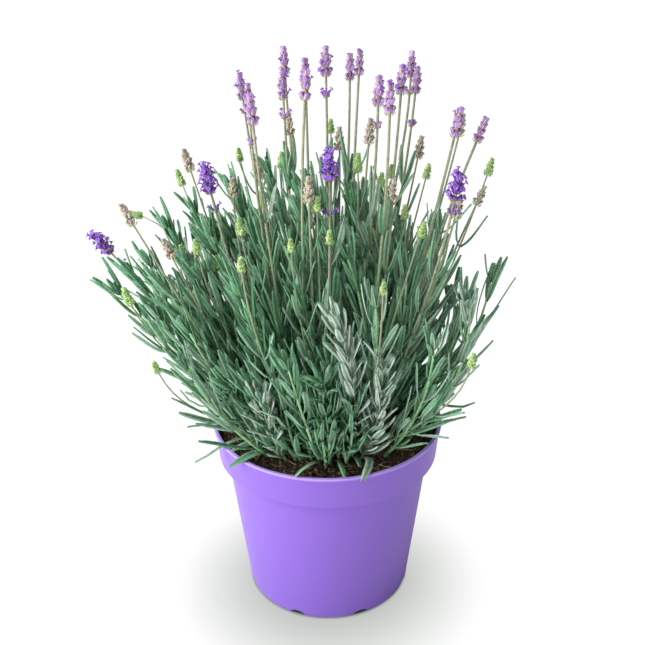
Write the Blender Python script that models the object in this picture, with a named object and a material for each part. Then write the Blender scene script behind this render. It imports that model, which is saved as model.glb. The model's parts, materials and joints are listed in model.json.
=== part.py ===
"""Potted lavender: a 19 cm nursery pot, its soil, leafy shoots, and flower stems with their spikes.

Metres, +Z up. The origin is the middle of the pot's underside, on the surface that it stands on.
The plant's front faces -Y. Leaning stems fan out from the soil and never touch each other.
"""

import math
import random
from collections import namedtuple

import bmesh
import bpy
import numpy as np
from mathutils import Vector

MERGE = 1e-6
GAP = 0.0003
UP = Vector((0.0, 0.0, 1.0))
GOLDEN_ANGLE = math.radians(137.5)

# Pot
POT_HEIGHT = 0.157
RIM_RADIUS = 0.095
LIP_HEIGHT = 0.003
LIP_OVERHANG = 0.0013
LIP_BEVEL = 0.0005
SHOULDER_BEVEL = 0.0015
COLLAR_DROP = 0.029
COLLAR_FOOT_RADIUS = 0.0915
BODY_TOP_RADIUS = 0.0845
BODY_FOOT_RADIUS = 0.0695
FOOT_ROUNDING = 0.003
FLOOR_BEVEL = 0.002
WALL = 0.0018
POT_SIDES = 48

# Drain notches, cut through the pot's bottom edge
NOTCH_COUNT = 8
NOTCH_WIDTH = 0.015
NOTCH_HEIGHT = 0.005
NOTCH_INNER_RADIUS = 0.058
NOTCH_OUTER_RADIUS = 0.078

# Soil
SOIL_BELOW_RIM = 0.009
SOIL_CROWN = 0.004
SOIL_EDGE_DIP = 0.002
SOIL_TOP_SHARES = (0.95, 0.65, 0.33, 0.0)
SOIL_SIDES = 48

# Bare soil by the rim, kept clear for watering: its lowest and highest corners
WATERING_SPACE = ((0.048, -0.046, 0.1510), (0.071, -0.020, 0.1760))

# Flower stems
STEM_FOOT_RADIUS = 0.0014
STEM_NECK_RADIUS = 0.0009
STEM_POINTS = 9
STEM_ROOT_LEAST = 0.012
STEM_ROOT_SPREAD = 0.33
STEM_ROOT_MOST = 0.062
STEM_LIFT = 0.15
STEM_FOOT_REACH = 0.35
STEM_NECK_REACH = 0.30

# The fan of flowers: stems evenly spread across, their necks under a dome that falls away from its
# crown by so many metres per square metre. Depths turn by the golden angle, so neighbours stand apart.
STEM_COUNT = 18
FAN_LEFT = -0.175
FAN_RIGHT = 0.130
FAN_DEPTH = 0.072
FAN_SEED = 7
DOME_CROWN = 0.010
DOME_TOP = 0.428
DOME_FALL = 2.6
HEIGHT_SPREAD = 0.008

# Heads tilt outwards with the square of their distance from the crown, and one stem arches right over
EDGE_TILT = math.radians(42)
TILT_DEPTH_SHARE = 0.5
ARCHING_STEM = 1
ARCH_TILT = math.radians(80)

# Every fifth head is open, and those within reach of the crown are lilac
OPEN_EVERY = 5
LILAC_REACH = 0.085

# Leafy shoots
SHOOT_COUNT = 22
SHOOT_ROOT_RADIUS = 0.070
SHOOT_LENGTHS = (0.195, 0.135)
SHOOT_FOOT_LEANS = (math.radians(6), math.radians(46))
SHOOT_TIP_LEAN_SHARE = 0.35
SHOOT_SWAY = Vector((-0.22, 0.0, 0.0))
SHOOT_HALF_WIDTH = 0.0013
SHOOT_TAPER = 0.35
SHOOT_BARE_FOOT = 0.022
LEAF_NODE_SPACING = 0.026
LEAF_NODE_HEIGHT = 0.0024
LEAF_LENGTH = 0.040
LEAF_WIDTH = 0.0046
LEAF_THICKNESS = 0.0008
LEAF_ANGLES = (math.radians(58), math.radians(24))
LEAF_BEND_RATE = 1.3
LEAF_LEAST_THICKNESS = 0.4
LEAF_SECTIONS = ((0.30, 0.85), (0.65, 1.0), (1.0, 0.10))
LEAF_LENGTH_TRIES = (1.0, 0.8, 0.6)
LEAF_FOOT_POINTS = 4

# Room between neighbours: a square stem's corners reach past its half width, and the first points
# at a piece's foot are left out of the test because it grows out of the soil or of its own stem.
LEAST_SPACE = 0.0006
CORNER_REACH = 1.5
STEM_FOOT_POINTS = 4
RIM_MARGIN = 0.009
TURN_TRIES = [math.radians(sign * step) for step in range(0, 48, 6) for sign in (1, -1)]

# Each kind of spike, and how far its neck stands below the dome
Spike = namedtuple("Spike", "length radius finish drop")
OPEN = Spike(0.024, 0.0068, "open_flower", 0.040)
LILAC = Spike(0.022, 0.0052, "lilac_flower", 0.0)
FADED = Spike(0.021, 0.0048, "faded_flower", 0.025)
BUD = Spike(0.015, 0.0040, "green_bud", 0.040)

# A spike's outline, as shares of its length and of its radius
SPIKE_OUTLINE = (
    (0.0, 0.0),
    (0.02, 0.45),
    (0.14, 0.92),
    (0.26, 0.70),
    (0.45, 1.0),
    (0.72, 0.86),
    (0.93, 0.45),
    (1.0, 0.0),
)
SPIKE_SIDES = 8

COLOURS = {
    "pot_plastic": ((0.31, 0.19, 0.78), 0.42),
    "potting_soil": ((0.035, 0.022, 0.014), 0.95),
    "leaf": ((0.11, 0.20, 0.13), 0.62),
    "stem": ((0.21, 0.27, 0.15), 0.60),
    "open_flower": ((0.16, 0.06, 0.52), 0.70),
    "lilac_flower": ((0.26, 0.16, 0.42), 0.75),
    "faded_flower": ((0.28, 0.24, 0.26), 0.80),
    "green_bud": ((0.25, 0.40, 0.16), 0.70),
}


def clear_scene():
    for item in list(bpy.data.objects):
        bpy.data.objects.remove(item, do_unlink=True)


def finish(name):
    """The Principled material of this name, made when it is first asked for."""
    if name in bpy.data.materials:
        return bpy.data.materials[name]
    colour, roughness = COLOURS[name]
    material = bpy.data.materials.new(name)
    material.use_nodes = True
    shader = material.node_tree.nodes["Principled BSDF"]
    shader.inputs["Base Color"].default_value = (*colour, 1.0)
    shader.inputs["Roughness"].default_value = roughness
    shader.inputs["Metallic"].default_value = 0.0
    material.diffuse_color = (*colour, 1.0)
    return material


def add_object(name, data, finish_name):
    item = bpy.data.objects.new(name, data)
    data.materials.append(finish(finish_name))
    bpy.context.scene.collection.objects.link(item)
    return item


def add_mesh(name, bm, finish_name, sharp_degrees=35):
    """An object of the bmesh, shaded smooth except where its faces meet at a steeper angle."""
    mesh = bpy.data.meshes.new(name)
    bm.to_mesh(mesh)
    bm.free()
    mesh.shade_smooth()
    mesh.set_sharp_from_angle(angle=math.radians(sharp_degrees))
    return add_object(name, mesh, finish_name)


def turned(profile, sides):
    """A closed bmesh turned about Z from (radius, height) points that start and end on the axis."""
    bm = bmesh.new()
    points = [bm.verts.new((radius, 0.0, height)) for radius, height in profile]
    lines = [bm.edges.new(pair) for pair in zip(points, points[1:])]
    bmesh.ops.spin(
        bm,
        geom=points + lines,
        cent=(0, 0, 0),
        axis=(0, 0, 1),
        angle=2 * math.pi,
        steps=sides,
        use_merge=True,
    )
    bmesh.ops.remove_doubles(bm, verts=bm.verts, dist=MERGE)
    bmesh.ops.recalc_face_normals(bm, faces=bm.faces)
    return bm


# ---------------------------------------------------------------------------------------- pot


def pot_outside():
    """The pot's outer (radius, height) points, from the lip down to the rounded foot."""
    collar_top = POT_HEIGHT - LIP_HEIGHT
    collar_foot = POT_HEIGHT - COLLAR_DROP
    rounding = [math.radians(angle) for angle in (0, 30, 60, 90)]
    foot_centre = BODY_FOOT_RADIUS - FOOT_ROUNDING
    foot = [
        (foot_centre + FOOT_ROUNDING * math.cos(turn), FOOT_ROUNDING * (1 - math.sin(turn)))
        for turn in rounding
    ]
    return [
        (RIM_RADIUS - LIP_BEVEL, POT_HEIGHT),
        (RIM_RADIUS, POT_HEIGHT - LIP_BEVEL),
        (RIM_RADIUS, collar_top + LIP_BEVEL),
        (RIM_RADIUS - LIP_OVERHANG, collar_top),
        (COLLAR_FOOT_RADIUS, collar_foot + SHOULDER_BEVEL),
        (COLLAR_FOOT_RADIUS - SHOULDER_BEVEL, collar_foot),
        (BODY_TOP_RADIUS + SHOULDER_BEVEL, collar_foot - SHOULDER_BEVEL / 2),
        (BODY_TOP_RADIUS, collar_foot - 2 * SHOULDER_BEVEL),
        *foot,
    ]


def pot_inside():
    """The pot's inner (radius, height) points, from the floor's edge up to the mouth."""
    collar_foot = POT_HEIGHT - COLLAR_DROP
    mouth_radius = RIM_RADIUS - LIP_OVERHANG - WALL
    return [
        (BODY_FOOT_RADIUS - WALL - FLOOR_BEVEL, WALL),
        (BODY_FOOT_RADIUS - WALL, WALL + FLOOR_BEVEL),
        (BODY_TOP_RADIUS - WALL, collar_foot - FLOOR_BEVEL / 2),
        (COLLAR_FOOT_RADIUS - WALL, collar_foot + FLOOR_BEVEL),
        (mouth_radius, POT_HEIGHT - LIP_HEIGHT),
        (mouth_radius, POT_HEIGHT),
    ]


def notch_cutter():
    """Half-round tunnels that run radially through the pot's bottom edge, as one cutter."""
    bm = bmesh.new()
    length = NOTCH_OUTER_RADIUS - NOTCH_INNER_RADIUS
    middle = (NOTCH_OUTER_RADIUS + NOTCH_INNER_RADIUS) / 2
    for number in range(NOTCH_COUNT):
        turn = 2 * math.pi * (number + 0.5) / NOTCH_COUNT
        made = bmesh.ops.create_cone(
            bm, cap_ends=True, segments=16, radius1=NOTCH_WIDTH / 2, radius2=NOTCH_WIDTH / 2, depth=length
        )
        for vert in made["verts"]:
            across, upright, along = vert.co
            flattened = upright * NOTCH_HEIGHT / (NOTCH_WIDTH / 2)
            radius = middle + along
            vert.co = (
                radius * math.cos(turn) - across * math.sin(turn),
                radius * math.sin(turn) + across * math.cos(turn),
                flattened,
            )
    bmesh.ops.recalc_face_normals(bm, faces=bm.faces)
    cutter = add_mesh("notch_cutter", bm, "pot_plastic")
    cutter.hide_render = True
    cutter.display_type = "WIRE"
    return cutter


def nursery_pot():
    """A hollow pot, open at the top, whose solid floor has notches only at its edge."""
    profile = [(0.0, WALL), *pot_inside(), *pot_outside(), (0.0, 0.0)]
    pot = add_mesh("nursery_pot", turned(profile, POT_SIDES), "pot_plastic", sharp_degrees=30)
    cut = pot.modifiers.new("drain_notches", "BOOLEAN")
    cut.operation = "DIFFERENCE"
    cut.object = notch_cutter()
    return pot


# --------------------------------------------------------------------------------------- soil


def soil_height(radius):
    """Height of the soil's surface, which rises a little towards the middle."""
    share = min(1.0, radius / RIM_RADIUS)
    return POT_HEIGHT - SOIL_BELOW_RIM + SOIL_CROWN * (1 - share**2)


def potting_soil():
    """The soil fills the pot's inside, a gap clear of its wall and floor."""
    walls = [(radius - GAP, height + GAP) for radius, height in pot_inside()[:4]]
    edge_height = POT_HEIGHT - SOIL_BELOW_RIM
    edge_radius = COLLAR_FOOT_RADIUS - WALL - GAP
    top = [(edge_radius * share, soil_height(edge_radius * share)) for share in SOIL_TOP_SHARES]
    profile = [(0.0, WALL + GAP), *walls, (edge_radius, edge_height - SOIL_EDGE_DIP), *top]
    return add_mesh("potting_soil", turned(profile, SOIL_SIDES), "potting_soil")


# ---------------------------------------------------------------------------- room to grow in


class Thicket:
    """Everything grown so far, as points with a radius, so that the next piece keeps clear."""

    def __init__(self):
        self.points = np.empty((0, 3))
        self.radii = np.empty(0)

    def has_room(self, path, radius):
        """Whether a round piece along the path clears the plant, soil, pot and watering space."""
        path = np.array(path)
        around = np.hypot(path[:, 0], path[:, 1])
        soil = POT_HEIGHT - SOIL_BELOW_RIM + SOIL_CROWN * (1 - (around / RIM_RADIUS) ** 2)
        floor = np.where(around < RIM_RADIUS - RIM_MARGIN, soil, POT_HEIGHT)
        over_pot = around < RIM_RADIUS + RIM_MARGIN / 2
        if (over_pot & (path[:, 2] < floor + radius + LEAST_SPACE)).any():
            return False
        low, high = np.array(WATERING_SPACE)
        beyond = np.maximum(low - path, path - high).max(axis=1)
        if (beyond < radius + LEAST_SPACE).any():
            return False
        if not len(self.points):
            return True
        apart = np.linalg.norm(path[:, None, :] - self.points[None, :, :], axis=2)
        return bool((apart > radius + self.radii + LEAST_SPACE).all())

    def add(self, path, radius):
        self.points = np.vstack((self.points, np.array(path)))
        self.radii = np.concatenate((self.radii, np.full(len(path), radius)))


def between(path, step=0.0015):
    """The points of a route, filled in so that neighbours are no more than a step apart."""
    filled = [path[0]]
    for start, end in zip(path, path[1:]):
        pieces = max(1, math.ceil((end - start).length / step))
        filled += [start.lerp(end, part / pieces) for part in range(1, pieces + 1)]
    return filled


def turned_about_z(vector, angle):
    cosine, sine = math.cos(angle), math.sin(angle)
    return Vector((vector.x * cosine - vector.y * sine, vector.x * sine + vector.y * cosine, vector.z))


# ------------------------------------------------------------------------------- flower stems


def bezier(points, count):
    """Evenly timed points of a cubic Bezier curve with these four control points."""
    start, first, second, end = points
    route = []
    for number in range(count):
        t = number / (count - 1)
        s = 1 - t
        route.append(start * s**3 + first * (3 * s * s * t) + second * (3 * s * t * t) + end * t**3)
    return route


def spike_kind(number, across):
    """The stage of a head by its place in the fan. Outer heads are faded or in bud by turns."""
    if number % OPEN_EVERY == 0:
        return OPEN
    if abs(across - DOME_CROWN) < LILAC_REACH:
        return LILAC
    return BUD if number % 2 else FADED


def fan_stems():
    """Each flower stem's (neck, tilt, kind), from the left of the fan to its right."""
    rng = random.Random(FAN_SEED)
    stems = []
    for number in range(STEM_COUNT):
        across = FAN_LEFT + (FAN_RIGHT - FAN_LEFT) * (number + 0.5) / STEM_COUNT
        depth = FAN_DEPTH * math.sin(number * GOLDEN_ANGLE)
        kind = spike_kind(number, across)
        off_crown = across - DOME_CROWN
        height = DOME_TOP - DOME_FALL * off_crown**2 - kind.drop
        height += rng.uniform(-HEIGHT_SPREAD, HEIGHT_SPREAD)
        tilt = EDGE_TILT * (off_crown / (FAN_LEFT - DOME_CROWN)) ** 2
        if number == ARCHING_STEM:
            tilt = ARCH_TILT
        stems.append((Vector((across, depth, height)), tilt, kind))
    return stems


def neck_direction(neck, tilt):
    """The way a spike points: tilted from upright, away from the plant's middle."""
    outward = Vector((neck.x, neck.y * TILT_DEPTH_SHARE, 0.0)).normalized()
    return outward * math.sin(tilt) + UP * math.cos(tilt)


def stem_route(neck, tilt, root_turn):
    """A route from the soil to the neck of a spike, straight below and bending into the tilt above."""
    flat = Vector((neck.x, neck.y, 0.0))
    root_radius = min(STEM_ROOT_MOST, STEM_ROOT_LEAST + flat.length * STEM_ROOT_SPREAD)
    root = turned_about_z(flat.normalized() * root_radius, root_turn)
    root.z = soil_height(root_radius) + 2 * GAP + STEM_FOOT_RADIUS / 2
    length = (neck - root).length
    foot_direction = ((neck - root).normalized() + UP * STEM_LIFT).normalized()
    first = root + foot_direction * (STEM_FOOT_REACH * length)
    second = neck - neck_direction(neck, tilt) * (STEM_NECK_REACH * length)
    return bezier((root, first, second, neck), STEM_POINTS)


def flower_stem(name, route):
    """A square, tapering stem along the route."""
    curve = bpy.data.curves.new(name, "CURVE")
    curve.dimensions = "3D"
    curve.bevel_depth = STEM_FOOT_RADIUS
    curve.bevel_resolution = 0
    curve.use_fill_caps = True
    spline = curve.splines.new("POLY")
    spline.points.add(len(route) - 1)
    for number, (point, place) in enumerate(zip(spline.points, route)):
        share = number / (len(route) - 1)
        point.co = (*place, 1.0)
        point.radius = 1 + (STEM_NECK_RADIUS / STEM_FOOT_RADIUS - 1) * share
    return add_object(name, curve, "stem")


def flower_spike(name, kind, neck, direction):
    """A spindle of crowded whorls, with one waist above its lowest whorl."""
    profile = [(kind.radius * width, kind.length * share) for share, width in SPIKE_OUTLINE]
    bm = turned(profile, SPIKE_SIDES)
    turn = UP.rotation_difference(direction).to_matrix()
    start = neck + direction * (2 * GAP)
    for vert in bm.verts:
        vert.co = turn @ vert.co + start
    return add_mesh(name, bm, kind.finish, sharp_degrees=60)


def grow_flower_stems(thicket):
    for number, (neck, tilt, kind) in enumerate(fan_stems(), 1):
        direction = neck_direction(neck, tilt)
        spike_line = between([neck, neck + direction * kind.length])
        for turn in TURN_TRIES:
            route = stem_route(neck, tilt, turn)
            filled = between(route)[1:]
            if thicket.has_room(filled[STEM_FOOT_POINTS:], STEM_FOOT_RADIUS * CORNER_REACH):
                break
        else:
            raise ValueError(f"no room for flower stem {number}")
        if not thicket.has_room(spike_line, kind.radius):
            raise ValueError(f"no room for flower spike {number}")
        thicket.add(filled, STEM_FOOT_RADIUS * CORNER_REACH)
        thicket.add(spike_line, kind.radius)
        flower_stem(f"flower_stem_{number:02d}", route)
        flower_spike(f"flower_spike_{number:02d}", kind, neck, direction)


# ------------------------------------------------------------------------------- leafy shoots


def shoot_route(number, turn):
    """A shoot's route: it leans out at its foot, more so near the rim, and straightens upwards."""
    share = math.sqrt((number + 0.5) / SHOOT_COUNT)
    heading = number * GOLDEN_ANGLE + turn
    outward = Vector((math.cos(heading), math.sin(heading), 0.0))
    length = SHOOT_LENGTHS[0] + (SHOOT_LENGTHS[1] - SHOOT_LENGTHS[0]) * share
    foot_lean = SHOOT_FOOT_LEANS[0] + (SHOOT_FOOT_LEANS[1] - SHOOT_FOOT_LEANS[0]) * share
    radius = SHOOT_ROOT_RADIUS * share
    place = outward * radius
    place.z = soil_height(radius) + 2 * GAP + SHOOT_HALF_WIDTH * math.sin(foot_lean)
    node_count = int((length - SHOOT_BARE_FOOT) / LEAF_NODE_SPACING)
    steps = [SHOOT_BARE_FOOT] + [LEAF_NODE_SPACING] * node_count
    route = [place.copy()]
    travelled = 0.0
    for step in steps:
        lean = foot_lean * (1 + (SHOOT_TIP_LEAN_SHARE - 1) * travelled / length)
        heading_now = outward * math.sin(lean) + UP * math.cos(lean) + SHOOT_SWAY * (travelled / length)
        place += heading_now.normalized() * step
        travelled += step
        route.append(place.copy())
    return route


def frames_along(route):
    """A direction and two side directions at each point of a route, carried along without twisting."""
    side = (route[1] - route[0]).orthogonal().normalized()
    frames = []
    for number in range(len(route)):
        before = route[max(0, number - 1)]
        after = route[min(len(route) - 1, number + 1)]
        along = (after - before).normalized()
        side = (side - along * side.dot(along)).normalized()
        frames.append((along, side, along.cross(side)))
    return frames


def add_ring(bm, centre, first, second, half_width):
    corners = ((1, 1), (-1, 1), (-1, -1), (1, -1))
    return [bm.verts.new(centre + (first * a + second * b) * half_width) for a, b in corners]


def bridge(bm, lower, upper):
    """The four side faces between two rings."""
    return [
        bm.faces.new((lower[i], lower[(i + 1) % 4], upper[(i + 1) % 4], upper[i]))
        for i in range(4)
    ]


def leaf_sections(start, along, outward, length):
    """The leaf's (centre, upward normal, width share) at its sections, as it curves up from the stem."""
    sections = []
    centre = start.copy()
    travelled = 0.0
    for share, width_share in LEAF_SECTIONS:
        middle = (travelled + share) / 2
        bent = min(1.0, middle * LEAF_BEND_RATE)
        angle = LEAF_ANGLES[0] + (LEAF_ANGLES[1] - LEAF_ANGLES[0]) * bent
        step = length * (share - travelled)
        centre = centre + (along * math.cos(angle) + outward * math.sin(angle)) * step
        normal = along * math.sin(angle) - outward * math.cos(angle)
        sections.append((centre, normal, width_share))
        travelled = share
    return sections


def extrude_leaf(bm, face, along, outward, across, sections):
    """A thin blade drawn out of one side face of the stem, section by section."""
    middle = face.calc_center_median()
    signs = [
        (math.copysign(1, (vert.co - middle).dot(across)), math.copysign(1, (vert.co - middle).dot(along)))
        for vert in face.verts
    ]
    for centre, normal, width_share in sections:
        face = bmesh.ops.extrude_discrete_faces(bm, faces=[face])["faces"][0]
        for vert, (side, upper) in zip(face.verts, signs):
            width = across * (side * LEAF_WIDTH * width_share / 2)
            kept = LEAF_LEAST_THICKNESS + (1 - LEAF_LEAST_THICKNESS) * width_share
            thickness = normal * (upper * LEAF_THICKNESS * kept / 2)
            vert.co = centre + width + thickness


def clear_shoot_route(number, thicket):
    """The first of a shoot's turned routes that keeps clear of every stem so far."""
    for turn in TURN_TRIES:
        route = shoot_route(number, turn)
        line = between(route)
        if thicket.has_room(line[STEM_FOOT_POINTS:], SHOOT_HALF_WIDTH * CORNER_REACH):
            thicket.add(line, SHOOT_HALF_WIDTH * CORNER_REACH)
            return route
    raise ValueError(f"no room for shoot {number}")


def grow_leaf(bm, faces, place, frame, half_width, thicket):
    """One leaf out of the face on the outward side, as long as there is room for, or none."""
    along, outward, across = frame
    start = place + outward * half_width
    for share in LEAF_LENGTH_TRIES:
        sections = leaf_sections(start, along, outward, LEAF_LENGTH * share)
        line = between([start] + [section[0] for section in sections])
        free_line = line[LEAF_FOOT_POINTS:]
        if not thicket.has_room(free_line, LEAF_WIDTH / 2):
            continue
        thicket.add(free_line, LEAF_WIDTH / 2)
        face = max(faces, key=lambda side: (side.calc_center_median() - place).dot(outward))
        extrude_leaf(bm, face, along, outward, across, sections)
        return


def leafy_shoot(name, route, thicket):
    """A square stem with pairs of narrow leaves, each pair turned a quarter from the one below."""
    bm = bmesh.new()
    frames = frames_along(route)
    ring = add_ring(bm, route[0], frames[0][1], frames[0][2], SHOOT_HALF_WIDTH)
    bm.faces.new(reversed(ring))
    for level, (place, (along, first, second)) in enumerate(zip(route[1:], frames[1:])):
        half_width = SHOOT_HALF_WIDTH * (1 - SHOOT_TAPER * level / len(route))
        half_height = along * (LEAF_NODE_HEIGHT / 2)
        lower = add_ring(bm, place - half_height, first, second, half_width)
        upper = add_ring(bm, place + half_height, first, second, half_width)
        bridge(bm, ring, lower)
        faces = bridge(bm, lower, upper)
        ring = upper
        outward, across = (first, second) if level % 2 else (second, first)
        for side in (1, -1):
            frame = (along, outward * side, across)
            grow_leaf(bm, faces, place, frame, half_width, thicket)
            faces = [face for face in faces if face.is_valid]
    bm.faces.new(ring)
    bmesh.ops.recalc_face_normals(bm, faces=bm.faces)
    return add_mesh(name, bm, "leaf", sharp_degrees=50)


def grow_leafy_shoots(thicket):
    routes = [clear_shoot_route(number, thicket) for number in range(SHOOT_COUNT)]
    for number, route in enumerate(routes, 1):
        leafy_shoot(f"leafy_shoot_{number:02d}", route, thicket)


def main():
    clear_scene()
    nursery_pot()
    potting_soil()
    thicket = Thicket()
    grow_flower_stems(thicket)
    grow_leafy_shoots(thicket)


main()
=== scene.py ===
"""Potted lavender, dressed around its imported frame.

The pot, the soil, the leafy shoots, the flower stems and the flower heads are each a class. Every shape
that repeats is modelled once as a master, and its copies are laid along routes through the plant.
Metres, +Z up, the plant's front faces -Y.
"""

from __future__ import annotations

import json
import logging
import math
import random
from dataclasses import dataclass, field, replace
from enum import Enum
from typing import Callable, Sequence

import bpy
import numpy as np
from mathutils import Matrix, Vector, noise

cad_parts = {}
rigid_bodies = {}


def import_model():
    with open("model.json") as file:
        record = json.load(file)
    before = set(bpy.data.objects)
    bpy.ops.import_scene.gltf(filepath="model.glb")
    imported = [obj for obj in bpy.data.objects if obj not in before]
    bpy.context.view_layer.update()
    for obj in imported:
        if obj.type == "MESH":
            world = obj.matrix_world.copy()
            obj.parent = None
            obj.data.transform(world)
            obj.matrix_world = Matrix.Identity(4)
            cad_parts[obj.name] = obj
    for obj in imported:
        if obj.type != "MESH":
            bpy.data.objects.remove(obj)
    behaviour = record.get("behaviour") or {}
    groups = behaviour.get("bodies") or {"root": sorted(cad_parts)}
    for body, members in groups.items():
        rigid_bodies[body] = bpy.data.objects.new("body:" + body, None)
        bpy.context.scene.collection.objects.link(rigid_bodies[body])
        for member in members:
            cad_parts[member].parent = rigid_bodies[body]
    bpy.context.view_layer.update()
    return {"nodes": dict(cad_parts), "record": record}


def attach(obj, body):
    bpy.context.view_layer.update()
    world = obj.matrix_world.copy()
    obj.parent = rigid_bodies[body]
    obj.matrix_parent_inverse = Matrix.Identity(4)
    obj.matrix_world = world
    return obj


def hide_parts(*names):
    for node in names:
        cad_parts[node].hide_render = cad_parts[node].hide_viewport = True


log = logging.getLogger("lavender")

MM = 0.001
UP = np.array((0.0, 0.0, 1.0))
GOLDEN_ANGLE = math.radians(137.5)
Colour = tuple[float, float, float]


class Bloom(Enum):
    """The stages that a lavender head goes through, each with its slot in the record."""

    OPEN = "open_flower"
    LILAC = "lilac_flower"
    FADED = "faded_flower"
    BUD = "green_bud"


# ------------------------------------------------------------------------------------ modelling


class Bench:
    """Modelling steps that every master and every piece share."""

    @staticmethod
    def clear() -> None:
        """Leaves edit mode and deselects everything."""
        if bpy.context.object and bpy.context.mode != "OBJECT":
            bpy.ops.object.mode_set(mode="OBJECT")
        bpy.ops.object.select_all(action="DESELECT")

    @staticmethod
    def pick(test: Callable[[Vector], bool]) -> None:
        """Selects the active mesh's vertices whose place passes the test, and stays in edit mode.

        Args:
            test: Takes a vertex's place and says whether it is wanted.
        """
        bpy.ops.object.mode_set(mode="EDIT")
        bpy.ops.mesh.select_mode(type="VERT")
        bpy.ops.mesh.select_all(action="DESELECT")
        bpy.ops.object.mode_set(mode="OBJECT")
        for vert in bpy.context.object.data.vertices:
            vert.select = test(vert.co)
        bpy.ops.object.mode_set(mode="EDIT")

    @staticmethod
    def drawn(name: str, profile: Sequence[tuple[float, float]], sides: int) -> bpy.types.Object:
        """A closed round solid, drawn up ring by ring from a flat disc.

        Args:
            name: The object's name.
            profile: (radius, height) of each ring, from the first disc to the last one.
            sides: The number of sides of each ring.

        Returns:
            The finished object, at the origin.
        """
        Bench.clear()
        radius, height = profile[0]
        bpy.ops.mesh.primitive_circle_add(
            vertices=sides, radius=radius, fill_type="NGON", location=(0, 0, height)
        )
        piece = bpy.context.object
        piece.name = name
        bpy.ops.object.transform_apply(location=True, rotation=False, scale=False)
        bpy.ops.object.mode_set(mode="EDIT")
        bpy.ops.mesh.select_all(action="SELECT")
        for next_radius, next_height in profile[1:]:
            bpy.ops.mesh.extrude_region_move(
                TRANSFORM_OT_translate={"value": (0, 0, next_height - height)}
            )
            ratio = next_radius / radius
            bpy.ops.transform.resize(value=(ratio, ratio, 1), center_override=(0, 0, next_height))
            radius, height = next_radius, next_height
        bpy.ops.mesh.select_all(action="SELECT")
        bpy.ops.mesh.normals_make_consistent(inside=False)
        bpy.ops.object.mode_set(mode="OBJECT")
        return piece

    @staticmethod
    def add_modifier(kind: str, **values: object) -> None:
        """Adds a modifier to the active object and applies it.

        Args:
            kind: Blender's name for the modifier.
            values: What its settings are set to.
        """
        bpy.ops.object.modifier_add(type=kind)
        modifier = bpy.context.object.modifiers[-1]
        for key, value in values.items():
            setattr(modifier, key, value)
        bpy.ops.object.modifier_apply(modifier=modifier.name)


def corner_points(mesh: bpy.types.Mesh) -> np.ndarray:
    """Reads a mesh's vertices.

    Args:
        mesh: The mesh.

    Returns:
        Their places, one row each.
    """
    points = np.empty(len(mesh.vertices) * 3)
    mesh.vertices.foreach_get("co", points)
    return points.reshape(-1, 3)


@dataclass
class Master:
    """One modelled shape to be copied. Its length runs along +Y from 0 to 1.

    along runs from 0 at the foot to 1 at the tip, and rib is 1 on a midrib or ridge and 0 between.
    """

    points: np.ndarray
    triangles: np.ndarray
    along: np.ndarray
    rib: np.ndarray

    @staticmethod
    def taken(piece: bpy.types.Object, upright: bool, rib: Callable[[np.ndarray], np.ndarray]) -> Master:
        """Reads a modelled object into a master, and removes the object.

        Args:
            piece: The modelled object.
            upright: Whether its length runs along +Z, and has to be laid down along +Y.
            rib: Works out the rib mask from the points.

        Returns:
            The master, scaled to a length of 1.
        """
        Bench.clear()
        bpy.context.view_layer.objects.active = piece
        piece.select_set(True)
        bpy.ops.object.mode_set(mode="EDIT")
        bpy.ops.mesh.select_all(action="SELECT")
        bpy.ops.mesh.quads_convert_to_tris()
        bpy.ops.object.mode_set(mode="OBJECT")
        mesh = piece.data
        points = corner_points(mesh)
        triangles = np.array([tuple(face.vertices) for face in mesh.polygons])
        if upright:
            points = np.column_stack((points[:, 0], points[:, 2], -points[:, 1]))
        points[:, 1] -= points[:, 1].min()
        points[:, 1] /= points[:, 1].max()
        bpy.data.objects.remove(piece, do_unlink=True)
        return Master(points, triangles, points[:, 1].copy(), rib(points))


class Route:
    """A smooth line through the plant, with a direction and two side directions at every point."""

    def __init__(self, points: np.ndarray, side: np.ndarray | None = None) -> None:
        """Carries the side direction along the points without twisting.

        Args:
            points: The line's points, from its foot.
            side: The side direction to start with, or None for any.
        """
        self.points = np.asarray(points, float)
        along = np.gradient(self.points, axis=0)
        self.along = along / np.linalg.norm(along, axis=1)[:, None]
        if side is None:
            side = np.cross(self.along[0], (0.31, 0.95, 0.07))
        sides = []
        for direction in self.along:
            side = side - direction * np.dot(side, direction)
            side = side / np.linalg.norm(side)
            sides.append(side)
        self.side = np.array(sides)
        self.up = np.cross(self.side, self.along)
        steps = np.linalg.norm(np.diff(self.points, axis=0), axis=1)
        travelled = np.concatenate(((0.0,), np.cumsum(steps)))
        self.length = float(travelled[-1])
        self.shares = travelled / self.length

    def at(self, share: np.ndarray | float, table: np.ndarray) -> np.ndarray:
        """Values of one of the route's tables at these shares of its length."""
        return np.stack([np.interp(share, self.shares, column) for column in table.T], axis=-1)

    def lay(self, master: Master, width: tuple[float, float], twist: float = 0.0) -> np.ndarray:
        """Bends a copy of a master along the route.

        Args:
            master: The shape to copy.
            width: The copy's width at its foot and at its tip.
            twist: How far it turns about its own length, in radians.

        Returns:
            The copy's points.
        """
        share = np.clip(master.points[:, 1], 0, 1)
        scale = width[0] + (width[1] - width[0]) * share
        turn = twist * share
        across = master.points[:, 0] * scale
        above = master.points[:, 2] * scale
        rolled_across = across * np.cos(turn) - above * np.sin(turn)
        rolled_above = across * np.sin(turn) + above * np.cos(turn)
        return (
            self.at(share, self.points)
            + self.at(share, self.side) * rolled_across[:, None]
            + self.at(share, self.up) * rolled_above[:, None]
        )


def unit(vector: np.ndarray) -> np.ndarray:
    """The vector at a length of 1."""
    return vector / np.linalg.norm(vector)


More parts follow.
